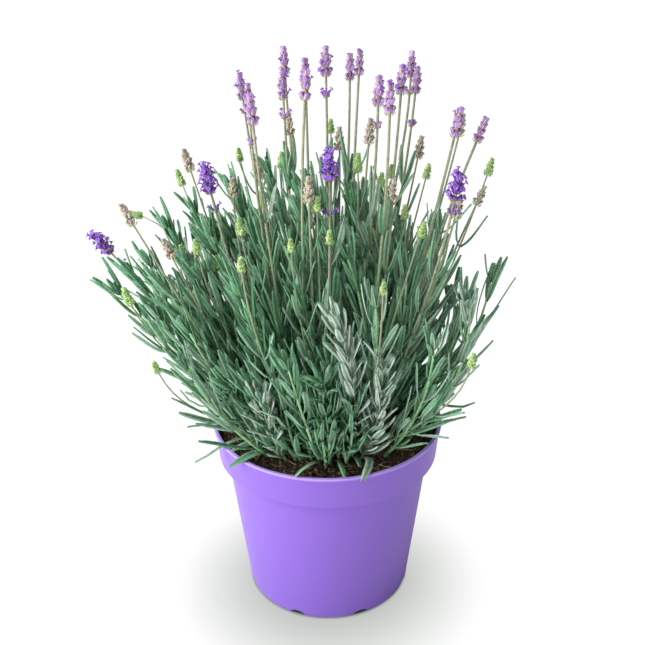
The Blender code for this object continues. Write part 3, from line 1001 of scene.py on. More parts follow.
@dataclass
class Soil:
    """The compost in the pot, its crumbs, its bark fibres and a few pale grains."""

    pot: Pot
    masters: Masters
    palette: Palette
    below_rim: float = 0.009
    crown: float = 0.004
    rings: int = 26
    sides: int = 96
    crumbs: int = 2400
    largest_crumb: float = 5.4
    coarse_lumps: tuple[float, float] = (70, 0.0016)
    fine_lumps: tuple[float, float] = (260, 0.0007)
    fibres: int = 260
    grains: int = 7

    def height_at(self, across: float, depth: float) -> float:
        """Works out the soil's height, crowned in the middle and lumpy all over.

        Args:
            across: The place along X.
            depth: The place along Y.

        Returns:
            The height there.
        """
        share = min(1.0, math.hypot(across, depth) / self.pot.rim_radius)
        lumps = noise.noise(Vector((across, depth, 0)) * self.coarse_lumps[0]) * self.coarse_lumps[1]
        lumps += noise.noise(Vector((across, depth, 0.3)) * self.fine_lumps[0]) * self.fine_lumps[1]
        return self.pot.height - self.below_rim + self.crown * (1 - share**2) + lumps

    def build(self) -> None:
        """Models the soil's body, then strews crumbs, fibres and grains on it."""
        pot = self.pot
        gap = 0.0003
        edge = pot.collar_foot_radius - pot.wall + 0.0012
        collar_foot = pot.height - pot.collar_drop
        walls = [
            (0.002, pot.wall + gap),
            (pot.body_foot_radius - pot.wall - 0.002 - gap, pot.wall + gap),
            (pot.body_foot_radius - pot.wall - gap, pot.wall + 0.002 + gap),
            (pot.body_top_radius - pot.wall - gap, collar_foot - 0.001),
            (pot.collar_foot_radius - pot.wall - gap, collar_foot + 0.002 + gap),
            (edge - gap, pot.height - self.below_rim - 0.003),
        ]
        top = [
            (edge * (1 - step / self.rings) + 0.002 * step / self.rings, pot.height - self.below_rim)
            for step in range(1, self.rings + 1)
        ]
        soil = Bench.drawn("compost_body", walls + top, self.sides)
        for vert in soil.data.vertices:
            if vert.co.z > pot.height - self.below_rim - 0.001:
                vert.co.z = self.height_at(vert.co.x, vert.co.y)
        tone = soil.data.attributes.new("tone", "FLOAT", "POINT")
        tone.data.foreach_set("value", [0.0] * len(soil.data.vertices))
        soil.data.shade_smooth()
        soil.data.materials.append(self.palette.compost)
        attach(soil, "root")
        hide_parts("potting_soil")
        log.info("compost_body: %d faces", len(soil.data.polygons))
        self.strew(edge)

    def strew(self, edge: float) -> None:
        """Lays crumbs, fibres and pale grains on the soil.

        Args:
            edge: The soil's radius at its surface.
        """
        rng = random.Random(11)
        crumbs = Growth()
        for _ in range(self.crumbs):
            size = rng.uniform(0.62, 1) ** 3 * self.largest_crumb * MM
            self.lay_crumb(crumbs, rng, edge, size, rng.uniform(0, 0.85) ** 3)
        crumbs.piece("compost_crumbs", [self.palette.crumbs], "potting_soil")
        fibres = Growth()
        for _ in range(self.fibres):
            self.lay_fibre(fibres, rng, edge)
        for _ in range(self.grains):
            self.lay_crumb(fibres, rng, edge, rng.uniform(1.4, 2.6) * MM, rng.uniform(1.6, 2.0))
        fibres.piece("bark_fibres", [self.palette.fibre], "potting_soil")

    def place_on_soil(self, rng: random.Random, edge: float) -> tuple[float, float]:
        """Picks a place on the soil, evenly spread.

        Args:
            rng: Where the draws come from.
            edge: The soil's radius at its surface.

        Returns:
            The place along X and along Y.
        """
        radius = (edge - 0.003) * math.sqrt(rng.random())
        turn = rng.uniform(0, 2 * math.pi)
        return radius * math.cos(turn), radius * math.sin(turn)

    def lay_crumb(self, growth: Growth, rng: random.Random, edge: float, size: float, tone: float) -> None:
        """Lays one crumb, turned and squashed, sunk a little into the soil.

        Args:
            growth: What it is added to.
            rng: Where the draws come from.
            edge: The soil's radius at its surface.
            size: The crumb's size.
            tone: 0 for the darkest, 1 for the palest.
        """
        across, depth = self.place_on_soil(rng, edge)
        master = self.masters.crumb
        axes = np.array([[rng.gauss(0, 1) for _ in range(3)] for _ in range(3)])
        turned, _ = np.linalg.qr(axes)
        if np.linalg.det(turned) < 0:
            turned[:, 0] *= -1
        squash = (size, size * rng.uniform(0.5, 1), size * rng.uniform(0.4, 0.8))
        shape = (master.points - (0, 0.5, 0)) * squash
        centre = np.array((across, depth, self.height_at(across, depth) + size * 0.15))
        growth.add(master, shape @ turned.T + centre, tone)

    def lay_fibre(self, growth: Growth, rng: random.Random, edge: float) -> None:
        """Lays one bent sliver of bark along the soil, or none where it would reach the wall.

        Args:
            growth: What it is added to.
            rng: Where the draws come from.
            edge: The soil's radius at its surface.
        """
        across, depth = self.place_on_soil(rng, edge * 0.96)
        heading = rng.uniform(0, 2 * math.pi)
        length = rng.uniform(4, 12) * MM
        bend = rng.uniform(-0.9, 0.9)
        points = []
        for step in range(5):
            height = self.height_at(across, depth) + rng.uniform(0.3, 1.1) * MM
            points.append((across, depth, height))
            across += math.cos(heading) * length / 4
            depth += math.sin(heading) * length / 4
            heading += bend / 4
        if math.hypot(across, depth) > edge - 0.003:
            return
        width = rng.uniform(0.5, 1.3) * MM
        stem = self.masters.stem
        growth.add(stem, Route(np.array(points)).lay(stem, (width, width / 2)), rng.random())


# --------------------------------------------------------------------------------------- foliage


@dataclass(frozen=True)
class ShootStyle:
    """How a shoot's leaves look: sizes in millimetres, angles in degrees from the stem."""

    leaf_length: tuple[float, float] = (34, 50)
    leaf_width: float = 4.4
    spacing: float = 15
    bare: float = 20
    open_angle: float = 52
    rest_angle: float = 17
    curl: float = 14
    tone: float = 0.22
    tufts: float = 0.45
    broad: bool = False
    stem_width: float = 2.0
    twist: float = 0.35


UPRIGHT = ShootStyle(
    leaf_length=(33, 56),
    leaf_width=3.6,
    spacing=24,
    bare=22,
    open_angle=36,
    rest_angle=9,
    curl=9,
    tone=0.10,
    tufts=0.35,
    stem_width=2.9,
)
LOW = ShootStyle(
    leaf_length=(24, 38),
    leaf_width=4.8,
    spacing=11,
    bare=10,
    open_angle=66,
    rest_angle=32,
    curl=44,
    tone=0.16,
    tufts=0.5,
    broad=True,
    twist=1.0,
)
PALE = ShootStyle(
    leaf_length=(24, 36),
    leaf_width=4.4,
    spacing=8,
    bare=12,
    open_angle=46,
    rest_angle=15,
    curl=12,
    tone=0.92,
    tufts=0.6,
    broad=True,
    twist=0.6,
)
LONG = ShootStyle(
    leaf_length=(30, 44),
    leaf_width=4.2,
    spacing=27,
    bare=26,
    open_angle=40,
    rest_angle=14,
    curl=16,
    tone=0.55,
    tufts=0.3,
    stem_width=2.7,
)
ON_STALK = ShootStyle(leaf_length=(38, 54), leaf_width=3.9, rest_angle=11, curl=10)


@dataclass(frozen=True)
class Accent:
    """A shoot that stands by itself: its turn from the front, its share of the root radius, its scale."""

    turn: float
    share: float
    scale: float


YOUNG_SHOOTS = (
    Accent(turn=0.30, share=0.76, scale=1.06),
    Accent(turn=0.44, share=0.86, scale=0.78),
    Accent(turn=-0.50, share=0.92, scale=0.62),
)
SIDE_SHOOTS = (
    Accent(turn=1.12, share=0.98, scale=1.14),
    Accent(turn=1.40, share=0.98, scale=0.94),
)


@dataclass
class Foliage:
    """All leafy shoots: one for every packed shoot, and a thicket of more between them."""

    pot: Pot
    soil: Soil
    masters: Masters
    palette: Palette
    rng: random.Random = field(default_factory=lambda: random.Random(1932))
    bare_soil: np.ndarray | None = None
    open_front: float = 0.42
    front_scale: float = 0.62
    lean_reach: tuple[float, float] = (math.radians(4), math.radians(41))
    straightening: float = 0.65
    wander: float = 0.13
    middle_length: float = 0.195
    length_fall: float = 0.060
    root_radius: float = 0.070
    wall_clearance: float = 0.009
    shoot_count: int = 132
    sides: int = 12
    low_count: int = 60
    rim_count: int = 15
    sway: np.ndarray = field(default_factory=lambda: np.array((-0.25, 0.0, 0.0)))

    def clears_pot(self, points: np.ndarray, margin: float = 0.0015) -> bool:
        """Whether a leaf's middle line keeps off the soil, the wall and the rim.

        Args:
            points: The points of its middle line.
            margin: How far it has to stay away.

        Returns:
            True where it is clear.
        """
        around = np.hypot(points[:, 0], points[:, 1])
        inside = around < self.pot.rim_radius - self.wall_clearance
        over_wall = ~inside & (around < self.pot.rim_radius + 2 * margin)
        floor = np.where(inside, self.pot.height - self.soil.below_rim + self.soil.crown, -1.0)
        floor = np.where(over_wall, self.pot.height, floor)
        if (points[:, 2] < floor + margin).any():
            return False
        low, high = self.bare_soil
        in_opening = (points > low - margin).all(axis=1) & (points < high + margin).all(axis=1)
        return not in_opening.any()

    def on_bare_soil(self, share: float, heading: float, reach: float = 0.035) -> bool:
        """Whether a shoot would stand in or near the soil that is left bare for watering.

        Args:
            share: 0 for a shoot in the middle, 1 for one at the edge.
            heading: The side that it stands on.
            reach: How far from the bare soil's middle is too near.

        Returns:
            True where it is too near.
        """
        middle = self.bare_soil.mean(axis=0)
        radius = self.root_radius * share
        across, depth = radius * math.cos(heading), radius * math.sin(heading)
        return math.hypot(across - middle[0], depth - middle[1]) < reach

    def leaf_route(
        self, start: np.ndarray, along: np.ndarray, outward: np.ndarray, length: float, style: ShootStyle
    ) -> Route:
        """A leaf's middle line: out from the stem, then up beside it, and outwards again at the tip.

        Args:
            start: Where it leaves the stem.
            along: The stem's direction.
            outward: The way that the leaf leaves the stem, square to it.
            length: The leaf's length.
            style: The shoot's style.

        Returns:
            The route.
        """
        rng = self.rng
        rest = math.radians(style.rest_angle * rng.uniform(0.5, 1.5))
        opened = math.radians(style.open_angle * rng.uniform(0.8, 1.2))
        curl = math.radians(style.curl * rng.uniform(-0.8, 1.8))
        sideways = math.radians(rng.gauss(0, style.curl * 0.6))
        across = np.cross(along, outward)
        t = np.linspace(0, 1, 8)
        angle = rest + (opened - rest) * np.exp(-5 * t) + curl * t**2
        lean = sideways * t
        steps = (
            along * (np.cos(angle) * np.cos(lean))[:, None]
            + outward * np.sin(angle)[:, None]
            + across * (np.cos(angle) * np.sin(lean))[:, None]
        )
        steps = steps * (length / 7)
        points = start + np.concatenate((np.zeros((1, 3)), np.cumsum((steps[1:] + steps[:-1]) / 2, axis=0)))
        return Route(points, across)

    def add_leaf(
        self,
        growth: Growth,
        start: np.ndarray,
        along: np.ndarray,
        outward: np.ndarray,
        length: float,
        style: ShootStyle,
    ) -> None:
        """Adds one leaf, or none if three tries don't clear the pot.

        Args:
            growth: What it is added to.
            start: Where it leaves the stem.
            along: The stem's direction.
            outward: The way that it leaves the stem, square to it.
            length: Its length.
            style: The shoot's style.
        """
        master = self.masters.broad_leaf if style.broad else self.masters.leaf
        width = style.leaf_width * MM * self.rng.uniform(0.8, 1.2)
        tone = min(1.0, max(0.0, self.rng.gauss(style.tone, 0.16)))
        for _ in range(3):
            route = self.leaf_route(start, along, outward, length, style)
            if self.clears_pot(route.points[2:]):
                twist = self.rng.gauss(0, style.twist)
                growth.add(master, route.lay(master, (width, width), twist), tone, 0)
                return

    def add_shoot(self, growth: Growth, route: Route, style: ShootStyle) -> None:
        """Adds a square stem with pairs of leaves, each pair about a quarter turn from the one below.

        Args:
            growth: What it is added to. Slot 0 is for leaves, slot 1 for the stem.
            route: The stem's route.
            style: How it looks.
        """
        rng = self.rng
        width = style.stem_width * MM
        stem = self.masters.stem
        style = replace(style, tone=max(0.0, rng.gauss(style.tone, 0.14)))
        growth.add(stem, route.lay(stem, (width, width * 0.55)), rng.uniform(0, 0.5) + style.tone / 2, 1)
        travelled = style.bare * MM * rng.uniform(0.8, 1.2)
        turn = rng.uniform(0, math.pi)
        while travelled < route.length:
            share = travelled / route.length
            centre, along = route.at(share, route.points), unit(route.at(share, route.along))
            side, up = route.at(share, route.side), route.at(share, route.up)
            length = rng.uniform(*style.leaf_length) * MM * (1 - 0.35 * share**3)
            for half in (0, math.pi):
                around = turn + half + rng.gauss(0, 0.15)
                outward = unit(side * math.cos(around) + up * math.sin(around))
                start = centre + outward * width * 0.3
                self.add_leaf(growth, start, along, outward, length * rng.uniform(0.85, 1.1), style)
                if rng.random() < style.tufts:
                    around += rng.choice((-0.8, 0.8))
                    outward = unit(side * math.cos(around) + up * math.sin(around))
                    self.add_leaf(growth, start, along, outward, length * rng.uniform(0.35, 0.6), style)
            turn += math.pi / 2 + rng.gauss(0, 0.2)
            travelled += style.spacing * MM * rng.uniform(0.75, 1.3) * (1.15 - 0.5 * share)
        self.add_tip(growth, route, style)

    def add_tip(self, growth: Growth, route: Route, style: ShootStyle) -> None:
        """Closes the shoot's end with a tuft of short, nearly upright leaves.

        Args:
            growth: What they are added to.
            route: The stem's route.
            style: The shoot's style.
        """
        for number in range(5):
            around = number * 2.4
            outward = unit(route.side[-1] * math.cos(around) + route.up[-1] * math.sin(around))
            length = (style.leaf_length[0] * 0.75 - number * 3) * MM
            self.add_leaf(growth, route.points[-1], route.along[-1], outward, max(length, 8 * MM), style)

    def law_route(self, share: float, heading: float, scale: float) -> np.ndarray:
        """A shoot's points: it leans out at its foot, more so near the rim, and straightens upwards.

        Args:
            share: 0 for a shoot in the middle, 1 for one at the edge.
            heading: The way that it leans.
            scale: Its length, as a share of the length usual there.

        Returns:
            The points of its stem.
        """
        outward = np.array((math.cos(heading), math.sin(heading), 0.0))
        length = (self.middle_length - self.length_fall * share) * scale
        foot_lean = self.lean_reach[0] + (self.lean_reach[1] - self.lean_reach[0]) * share
        place = outward * (self.root_radius * share)
        place[2] = self.soil.height_at(place[0], place[1]) - 0.002
        points = [place]
        drift = np.array((self.rng.gauss(0, self.wander), self.rng.gauss(0, self.wander), 0.0))
        count = 14
        for step in range(count):
            travelled = step / (count - 1)
            lean = foot_lean * (1 - self.straightening * travelled)
            sway = (self.sway + drift) * travelled * scale
            heading_now = outward * math.sin(lean) + UP * math.cos(lean) + sway
            points.append(points[-1] + unit(heading_now) * (length / count))
        return np.array(points)

    def packed_route(self, node: str) -> np.ndarray:
        """Finds the middle line of a packed shoot, from curves fitted through its solid.

        Args:
            node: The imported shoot's name.

        Returns:
            The line's points.
        """
        points = corner_points(bpy.data.objects[node].data)
        low, high = points[:, 2].min(), points[:, 2].max()
        heights = np.linspace(low, high - 0.024, 14)
        across = np.polyval(np.polyfit(points[:, 2], points[:, 0], 2), heights)
        depth = np.polyval(np.polyfit(points[:, 2], points[:, 1], 2), heights)
        return np.stack((across, depth, heights), axis=1)

    def build(self, nodes: Sequence[str]) -> None:
        """Grows a shoot for each packed one, and then the thicket between them.

        Args:
            nodes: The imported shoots' names.
        """
        dress = [self.palette.leaf, self.palette.stem]
        for number, node in enumerate(nodes, 1):
            growth = Growth()
            self.add_shoot(growth, Route(self.packed_route(node)), UPRIGHT)
            piece = growth.piece(f"leafy_shoot_{number:02d}_leaves", dress, "leaf")
            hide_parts(node)
        self.build_thicket(dress)
        self.build_skirt(dress)
        self.build_accents(dress)

    def build_thicket(self, dress: Sequence[bpy.types.Material]) -> None:
        """Grows the shoots that fill the bush, gathered into one piece for each side that they lean to.

        Args:
            dress: The materials of leaves and stems.
        """
        grown = [Growth() for _ in range(self.sides)]
        for number in range(self.shoot_count):
            spread = math.sqrt((number + 0.5) / self.shoot_count)
            share = min(1.0, spread * self.rng.uniform(0.92, 1.05))
            heading = number * GOLDEN_ANGLE + self.rng.gauss(0, 0.12)
            if self.on_bare_soil(share, heading):
                continue
            scale = self.rng.uniform(0.66, 1.18)
            if -math.sin(heading) * share > self.open_front:
                scale *= self.front_scale
            route = Route(self.law_route(share, heading, scale))
            sector = int((heading % (2 * math.pi)) / (2 * math.pi) * self.sides)
            self.add_shoot(grown[sector], route, UPRIGHT)
        for sector, growth in enumerate(grown, 1):
            growth.piece(f"thicket_{sector:02d}", dress, "leaf")

    def build_skirt(self, dress: Sequence[bpy.types.Material]) -> None:
        """Grows the short, curled, greyer shoots that hide the stems' feet.

        Args:
            dress: The materials of leaves and stems.
        """
        front, back = Growth(), Growth()
        for number in range(self.low_count):
            heading = number * GOLDEN_ANGLE
            growth = front if math.sin(heading) < 0 else back
            share = 0.36 + 0.50 * math.sqrt((number + 0.5) / self.low_count)
            if self.on_bare_soil(share, heading):
                continue
            tallest = 0.78 if -math.sin(heading) * share > self.open_front / 2 else 0.50
            route = Route(self.law_route(share, heading, self.rng.uniform(0.24, tallest)))
            self.add_shoot(growth, route, LOW)
        front.piece("low_shoots_front", dress, "leaf")
        back.piece("low_shoots_back", dress, "leaf")

    def build_accents(self, dress: Sequence[bpy.types.Material]) -> None:
        """Grows the pale young shoots at the front, two long ones to the right, and leaves over the rim.

        Args:
            dress: The materials of leaves and stems.
        """
        self.add_accents("pale_young_shoots", YOUNG_SHOOTS, PALE, dress)
        self.add_accents("long_side_shoots", SIDE_SHOOTS, LONG, dress)
        rim = Growth()
        for number in range(self.rim_count):
            heading = number * GOLDEN_ANGLE + 0.35
            if not self.on_bare_soil(1.0, heading):
                self.add_rim_leaf(rim, heading)
        rim.piece("rim_leaves", dress, "leaf")

    def add_accents(
        self,
        name: str,
        accents: Sequence[Accent],
        style: ShootStyle,
        dress: Sequence[bpy.types.Material],
    ) -> None:
        """Grows a few shoots as one piece.

        Args:
            name: The piece's name.
            accents: Where they stand and how long they are.
            style: How they look.
            dress: The materials of leaves and stems.
        """
        growth = Growth()
        front = -math.pi / 2
        for accent in accents:
            route = Route(self.law_route(accent.share, front + accent.turn, accent.scale))
            self.add_shoot(growth, route, style)
        growth.piece(name, dress, "leaf")

    def add_rim_leaf(self, growth: Growth, heading: float) -> None:
        """Adds a leaf that grows out over the rim, dips outside it, and turns up again at its tip.

        Args:
            growth: What it is added to.
            heading: The side of the pot that it hangs over.
        """
        rng = self.rng
        outward = np.array((math.cos(heading), math.sin(heading), 0.0))
        across = np.array((-outward[1], outward[0], 0.0))
        rim = self.pot.rim_radius
        sideward = math.cos(heading) ** 2
        reach = (0.030 * sideward - 0.001) * rng.uniform(0.8, 1.2)
        tip_rise = 0.002 + rng.uniform(-0.010, 0.014) * sideward
        dip = 0.012 * sideward
        drift = across * rng.uniform(-0.012, 0.012)
        corners = (
            outward * (rim - 0.030) + UP * (self.pot.height - 0.003),
            outward * (rim - 0.007) + UP * (self.pot.height + 0.012 + dip * 0.4),
            outward * (rim + reach * 0.65 - 0.004) + drift + UP * (self.pot.height + 0.009 - dip * 1.6),
            outward * (rim + reach) + drift * 1.6 + UP * (self.pot.height + tip_rise),
        )
        master = self.masters.broad_leaf
        width = (7.6 - 2.8 * sideward) * rng.uniform(0.85, 1.15) * MM
        route = Route(bezier(corners, 10), across)
        growth.add(master, route.lay(master, (width, width), rng.gauss(0, 0.5)), rng.uniform(0.1, 0.5), 0)


# --------------------------------------------------------------------------------------- flowers


@dataclass(frozen=True)
class HeadForm:
    """A head's make-up: sizes in millimetres, angles in degrees from the head's own axis.

    calyx is a calyx's length and width, and angles are at the head's foot and at its tip. petals is the
    share of calyces with petals, and waist the bare share above the first whorl. stalk is the stem's width
    at its foot and at its neck.
    """

    length: float
    whorls: int
    around: int
    calyx: tuple[float, float]
    angles: tuple[float, float]
    petals: float
    core: float
    waist: float
    stalk: tuple[float, float]
    stalk_tone: float


BRACT_SIZE = (3.8, 3.0)
PETAL_LENGTH = (3.1, 4.4)
PETAL_WIDTH = (3.0, 4.1)
STALK_LEAF_SHARES = (0.16, 0.27, 0.38, 0.49, 0.60, 0.71)
THIN_LEAVES_FROM = 0.55
FORMS = {
    Bloom.OPEN: HeadForm(
        length=20,
        whorls=5,
        around=7,
        calyx=(5.7, 2.6),
        angles=(44, 15),
        petals=0.85,
        core=1.1,
        waist=0.08,
        stalk=(2.6, 1.8),
        stalk_tone=0.40,
    ),
    Bloom.LILAC: HeadForm(
        length=20,
        whorls=4,
        around=7,
        calyx=(6.3, 2.9),
        angles=(32, 9),
        petals=0.06,
        core=1.2,
        waist=0.06,
        stalk=(2.7, 1.9),
        stalk_tone=0.30,
    ),
    Bloom.FADED: HeadForm(
        length=17,
        whorls=4,
        around=6,
        calyx=(5.8, 2.5),
        angles=(34, 9),
        petals=0.0,
        core=1.1,
        waist=0.08,
        stalk=(2.3, 1.5),
        stalk_tone=0.25,
    ),
    Bloom.BUD: HeadForm(
        length=12.5,
        whorls=4,
        around=6,
        calyx=(4.9, 3.0),
        angles=(24, 4),
        petals=0.0,
        core=1.0,
        waist=0.0,
        stalk=(1.9, 1.2),
        stalk_tone=0.12,
    ),
}


@dataclass(frozen=True)
class Tier:
    """Heads of one stage at one level of the dome, evenly fanned between two shares of its width."""

    bloom: Bloom
    count: int
    drop: float
    left: float
    right: float
    forward: float = 0.0
    sizes: tuple[float, float] = (0.85, 1.08)


TIERS = (
    Tier(Bloom.LILAC, count=9, drop=-0.018, left=0.36, right=0.98),
    Tier(Bloom.FADED, count=12, drop=0.036, left=0.16, right=1.0),
    Tier(Bloom.BUD, count=16, drop=0.050, left=0.06, right=0.96),
    Tier(Bloom.BUD, count=12, drop=0.090, left=0.14, right=0.94, forward=0.055, sizes=(0.72, 0.92)),
)


class Dome:
    """The surface that the flower necks stand under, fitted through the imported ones."""

    def __init__(self, necks: np.ndarray) -> None:
        """Takes the dome's reach and its curve from the necks.

        Args:
            necks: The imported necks' places.
        """
        self.left, self.right = necks[:, 0].min(), necks[:, 0].max()
        self.front, self.back = necks[:, 1].min(), necks[:, 1].max()
        self.curve = np.polyfit(necks[:, 0], necks[:, 2], 2)
        self.crown = float(-self.curve[1] / (2 * self.curve[0]))

    def neck(self, across_share: float, turn: float, drop: float) -> np.ndarray:
        """A neck's place.

        Args:
            across_share: 0 at the dome's left edge, 1 at its right edge.
            turn: An angle that sets its depth, from front to back and round again.
            drop: How far it stands below the dome.

        Returns:
            The place.
        """
        across = self.left + (self.right - self.left) * across_share
        depth = (self.front + self.back) / 2 + (self.back - self.front) / 2 * math.sin(turn)
        return np.array((across, depth, np.polyval(self.curve, across) - drop))

    def tilt(self, across: float, most: float = math.radians(40)) -> float:
        """The tilt of a head, which grows with the square of how far across it stands from the crown."""
        return most * ((across - self.crown) / (self.left - self.crown)) ** 2


@dataclass
class Flowers:
    """Every flower stem with its head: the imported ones, and more between them."""

    soil: Soil
    masters: Masters
    palette: Palette
    foliage: Foliage
    rng: random.Random = field(default_factory=lambda: random.Random(77))

    @staticmethod
    def add_part(
        growth: Growth,
        master: Master,
        origin: np.ndarray,
        along: np.ndarray,
        outward: np.ndarray,
        size: tuple[float, float],
        tone: float,
        slot: int,
    ) -> None:
        """Adds a stiff copy of a master.

        Args:
            growth: What it is added to.
            master: The shape to copy.
            origin: Where its foot goes.
            along: The way that its length points.
            outward: The way that its upper side faces, roughly.
            size: Its length and its width.
            tone: 0 for the darkest of its kind, 1 for the palest.
            slot: The number of its material on the piece.
        """
        side = unit(np.cross(along, outward))
        up = np.cross(side, along)
        points = master.points
        placed = (
            origin
            + np.outer(points[:, 0] * size[1], side)
            + np.outer(points[:, 1] * size[0], along)
            + np.outer(points[:, 2] * size[1], up)
        )
        growth.add(master, placed, tone, slot)

    def add_head(
        self, growth: Growth, neck: np.ndarray, axis: np.ndarray, bloom: Bloom, scale: float = 1.0
    ) -> None:
        """Adds a head: a core, whorls of calyces with bracts below them, and petals where it is open.

        Args:
            growth: What it is added to. Slot 0 is for calyces, 1 for bracts, 2 for petals.
            neck: Where the head starts.
            axis: The way that it points.
            bloom: Its stage.
            scale: Its size, as a share of the usual size.
        """
        form = FORMS[bloom]
        side = unit(np.cross(axis, (0.21, 0.93, 0.30)))
        length = form.length * MM * scale
        core = Route(np.array([neck, neck + axis * length * 0.4, neck + axis * length * 0.8]))
        stem = self.masters.stem
        growth.add(stem, core.lay(stem, (form.core * MM, form.core * MM * 0.7)), 0.3, 1)
        calyx_length = form.calyx[0] * MM * scale
        span = length - calyx_length * 0.9
        for whorl in range(form.whorls):
            share = whorl / (form.whorls - 1)
            height = span * (share if whorl == 0 else form.waist + share * (1 - form.waist))
            angle = math.radians(form.angles[0] + (form.angles[1] - form.angles[0]) * share)
            count = max(3, round(form.around * (1 - 0.45 * share**2)))
            centre = neck + axis * height
            self.add_whorl(growth, centre, axis, side, angle, count, whorl * 0.5, bloom, scale)

    def add_whorl(
        self,
        growth: Growth,
        centre: np.ndarray,
        axis: np.ndarray,
        side: np.ndarray,
        angle: float,
        count: int,
        turn: float,
        bloom: Bloom,
        scale: float,
    ) -> None:
        """Adds one ring of calyces, with a pair of bracts below it and petals on some of them.

        Args:
            growth: What it is added to.
            centre: The ring's middle.
            axis: The head's direction.
            side: A direction square to it.
            angle: How far the calyces stand off the axis.
            count: How many calyces there are.
            turn: How far the ring is turned, in radians.
            bloom: The head's stage.
            scale: Its size, as a share of the usual size.
        """
        rng = self.rng
        form = FORMS[bloom]
        masters = self.masters
        up = np.cross(axis, side)
        for number in range(count):
            around = turn + 2 * math.pi * number / count + rng.gauss(0, 0.10)
            outward = side * math.cos(around) + up * math.sin(around)
            lean = angle * rng.uniform(0.8, 1.25)
            along = unit(axis * math.cos(lean) + outward * math.sin(lean))
            size = (form.calyx[0] * MM * scale * rng.uniform(0.85, 1.1), form.calyx[1] * MM * scale)
            foot = centre + outward * 0.4 * MM
            tone = min(1.0, max(0.0, rng.gauss(0.35, 0.25)))
            self.add_part(growth, masters.calyx, foot, along, outward, size, tone, 0)
            if rng.random() < form.petals:
                lip = foot + along * size[0] * 0.80
                spread = unit(along + outward * rng.uniform(0.1, 0.6))
                petal = (rng.uniform(*PETAL_LENGTH) * MM * scale, rng.uniform(*PETAL_WIDTH) * MM * scale)
                self.add_part(growth, masters.corolla, lip, spread, outward, petal, rng.random() * 0.7, 2)
        for half in (0.0, math.pi):
            around = turn * 3 + half
            outward = side * math.cos(around) + up * math.sin(around)
            along = unit(axis * math.cos(angle + 0.25) + outward * math.sin(angle + 0.25))
            size = (BRACT_SIZE[0] * MM * scale, BRACT_SIZE[1] * MM * scale)
            foot = centre + outward * 1.4 * MM - axis * 0.6 * MM
            self.add_part(growth, masters.bract, foot, along, outward, size, rng.random() * 0.6, 1)

    def add_stalk(self, growth: Growth, points: np.ndarray, bloom: Bloom) -> None:
        """Adds a flower stem, with pairs of long leaves where it runs through the bush.

        Args:
            growth: What it is added to. Slot 0 is for leaves, 1 for green stems, 2 for stalks.
            points: The stem's points from its foot to its neck.
            bloom: The stage of its head.
        """
        rng = self.rng
        route = Route(points)
        form = FORMS[bloom]
        tone = max(0.0, form.stalk_tone + rng.uniform(-0.1, 0.1))
        stem = self.masters.stem
        growth.add(stem, route.lay(stem, (form.stalk[0] * MM, form.stalk[1] * MM)), tone, 2)
        turn = rng.uniform(0, math.pi)
        for share in STALK_LEAF_SHARES:
            if share > THIN_LEAVES_FROM and rng.random() < 0.55:
                continue
            share += rng.uniform(-0.03, 0.03)
            centre, along = route.at(share, route.points), unit(route.at(share, route.along))
            side, up = route.at(share, route.side), route.at(share, route.up)
            for half in (0.0, math.pi):
                outward = unit(side * math.cos(turn + half) + up * math.sin(turn + half))
                length = rng.uniform(*ON_STALK.leaf_length) * MM * (1.15 - 0.6 * share)
                self.foliage.add_leaf(growth, centre, along, outward, length, ON_STALK)
            turn += math.pi / 2

    def packed_points(self, node: str) -> np.ndarray:
        """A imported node's corner points, each once."""
        points = corner_points(bpy.data.objects[node].data)
        return np.unique(np.round(points, 6), axis=0)

    def packed_stem(self, node: str) -> np.ndarray:
        """Finds the middle line of a packed stem through the middles of its rings.

        Args:
            node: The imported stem's name.

        Returns:
            The line's points, from the soil up.
        """
        points = self.packed_points(node)
        foot = points[points[:, 2].argmin()]
        far = points[np.linalg.norm(points - foot, axis=1).argmax()]
        reach = (points - foot) @ unit(far - foot)
        order = reach.argsort()
        breaks = np.nonzero(np.diff(reach[order]) > 0.004)[0] + 1
        rings = [points[ring].mean(axis=0) for ring in np.split(order, breaks)]
        return smooth_line(np.array(rings) / MM, 20)

    def packed_axis(self, node: str, neck: np.ndarray) -> np.ndarray:
        """Finds the way that a packed head points.

        Args:
            node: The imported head's name.
            neck: The end of its stem.

        Returns:
            The direction from the neck to the head's tip.
        """
        points = self.packed_points(node)
        foot = points[np.linalg.norm(points - neck, axis=1).argmin()]
        tip = points[np.linalg.norm(points - foot, axis=1).argmax()]
        return unit(tip - neck)

    def add_low_whorl(self, growth: Growth, stem_line: np.ndarray, bloom: Bloom) -> None:
        """Adds a few calyces round the stem, well below its head.

        Args:
            growth: What they are added to.
            stem_line: The stem's points from its foot to its neck.
            bloom: The head's stage.
        """
        route = Route(stem_line)
        share = 1 - self.rng.uniform(9, 26) * MM / route.length
        along = unit(route.at(share, route.along))
        side = unit(route.at(share, route.side))
        count = self.rng.choice((2, 3, 5))
        self.add_whorl(growth, route.at(share, route.points), along, side, 0.6, count, 0.4, bloom, 0.85)

    def heads_dress(self, bloom: Bloom) -> list[bpy.types.Material]:
        """The materials of a head's calyces, bracts and petals."""
        return [self.palette.calyx[bloom], self.palette.bract, self.palette.corolla]

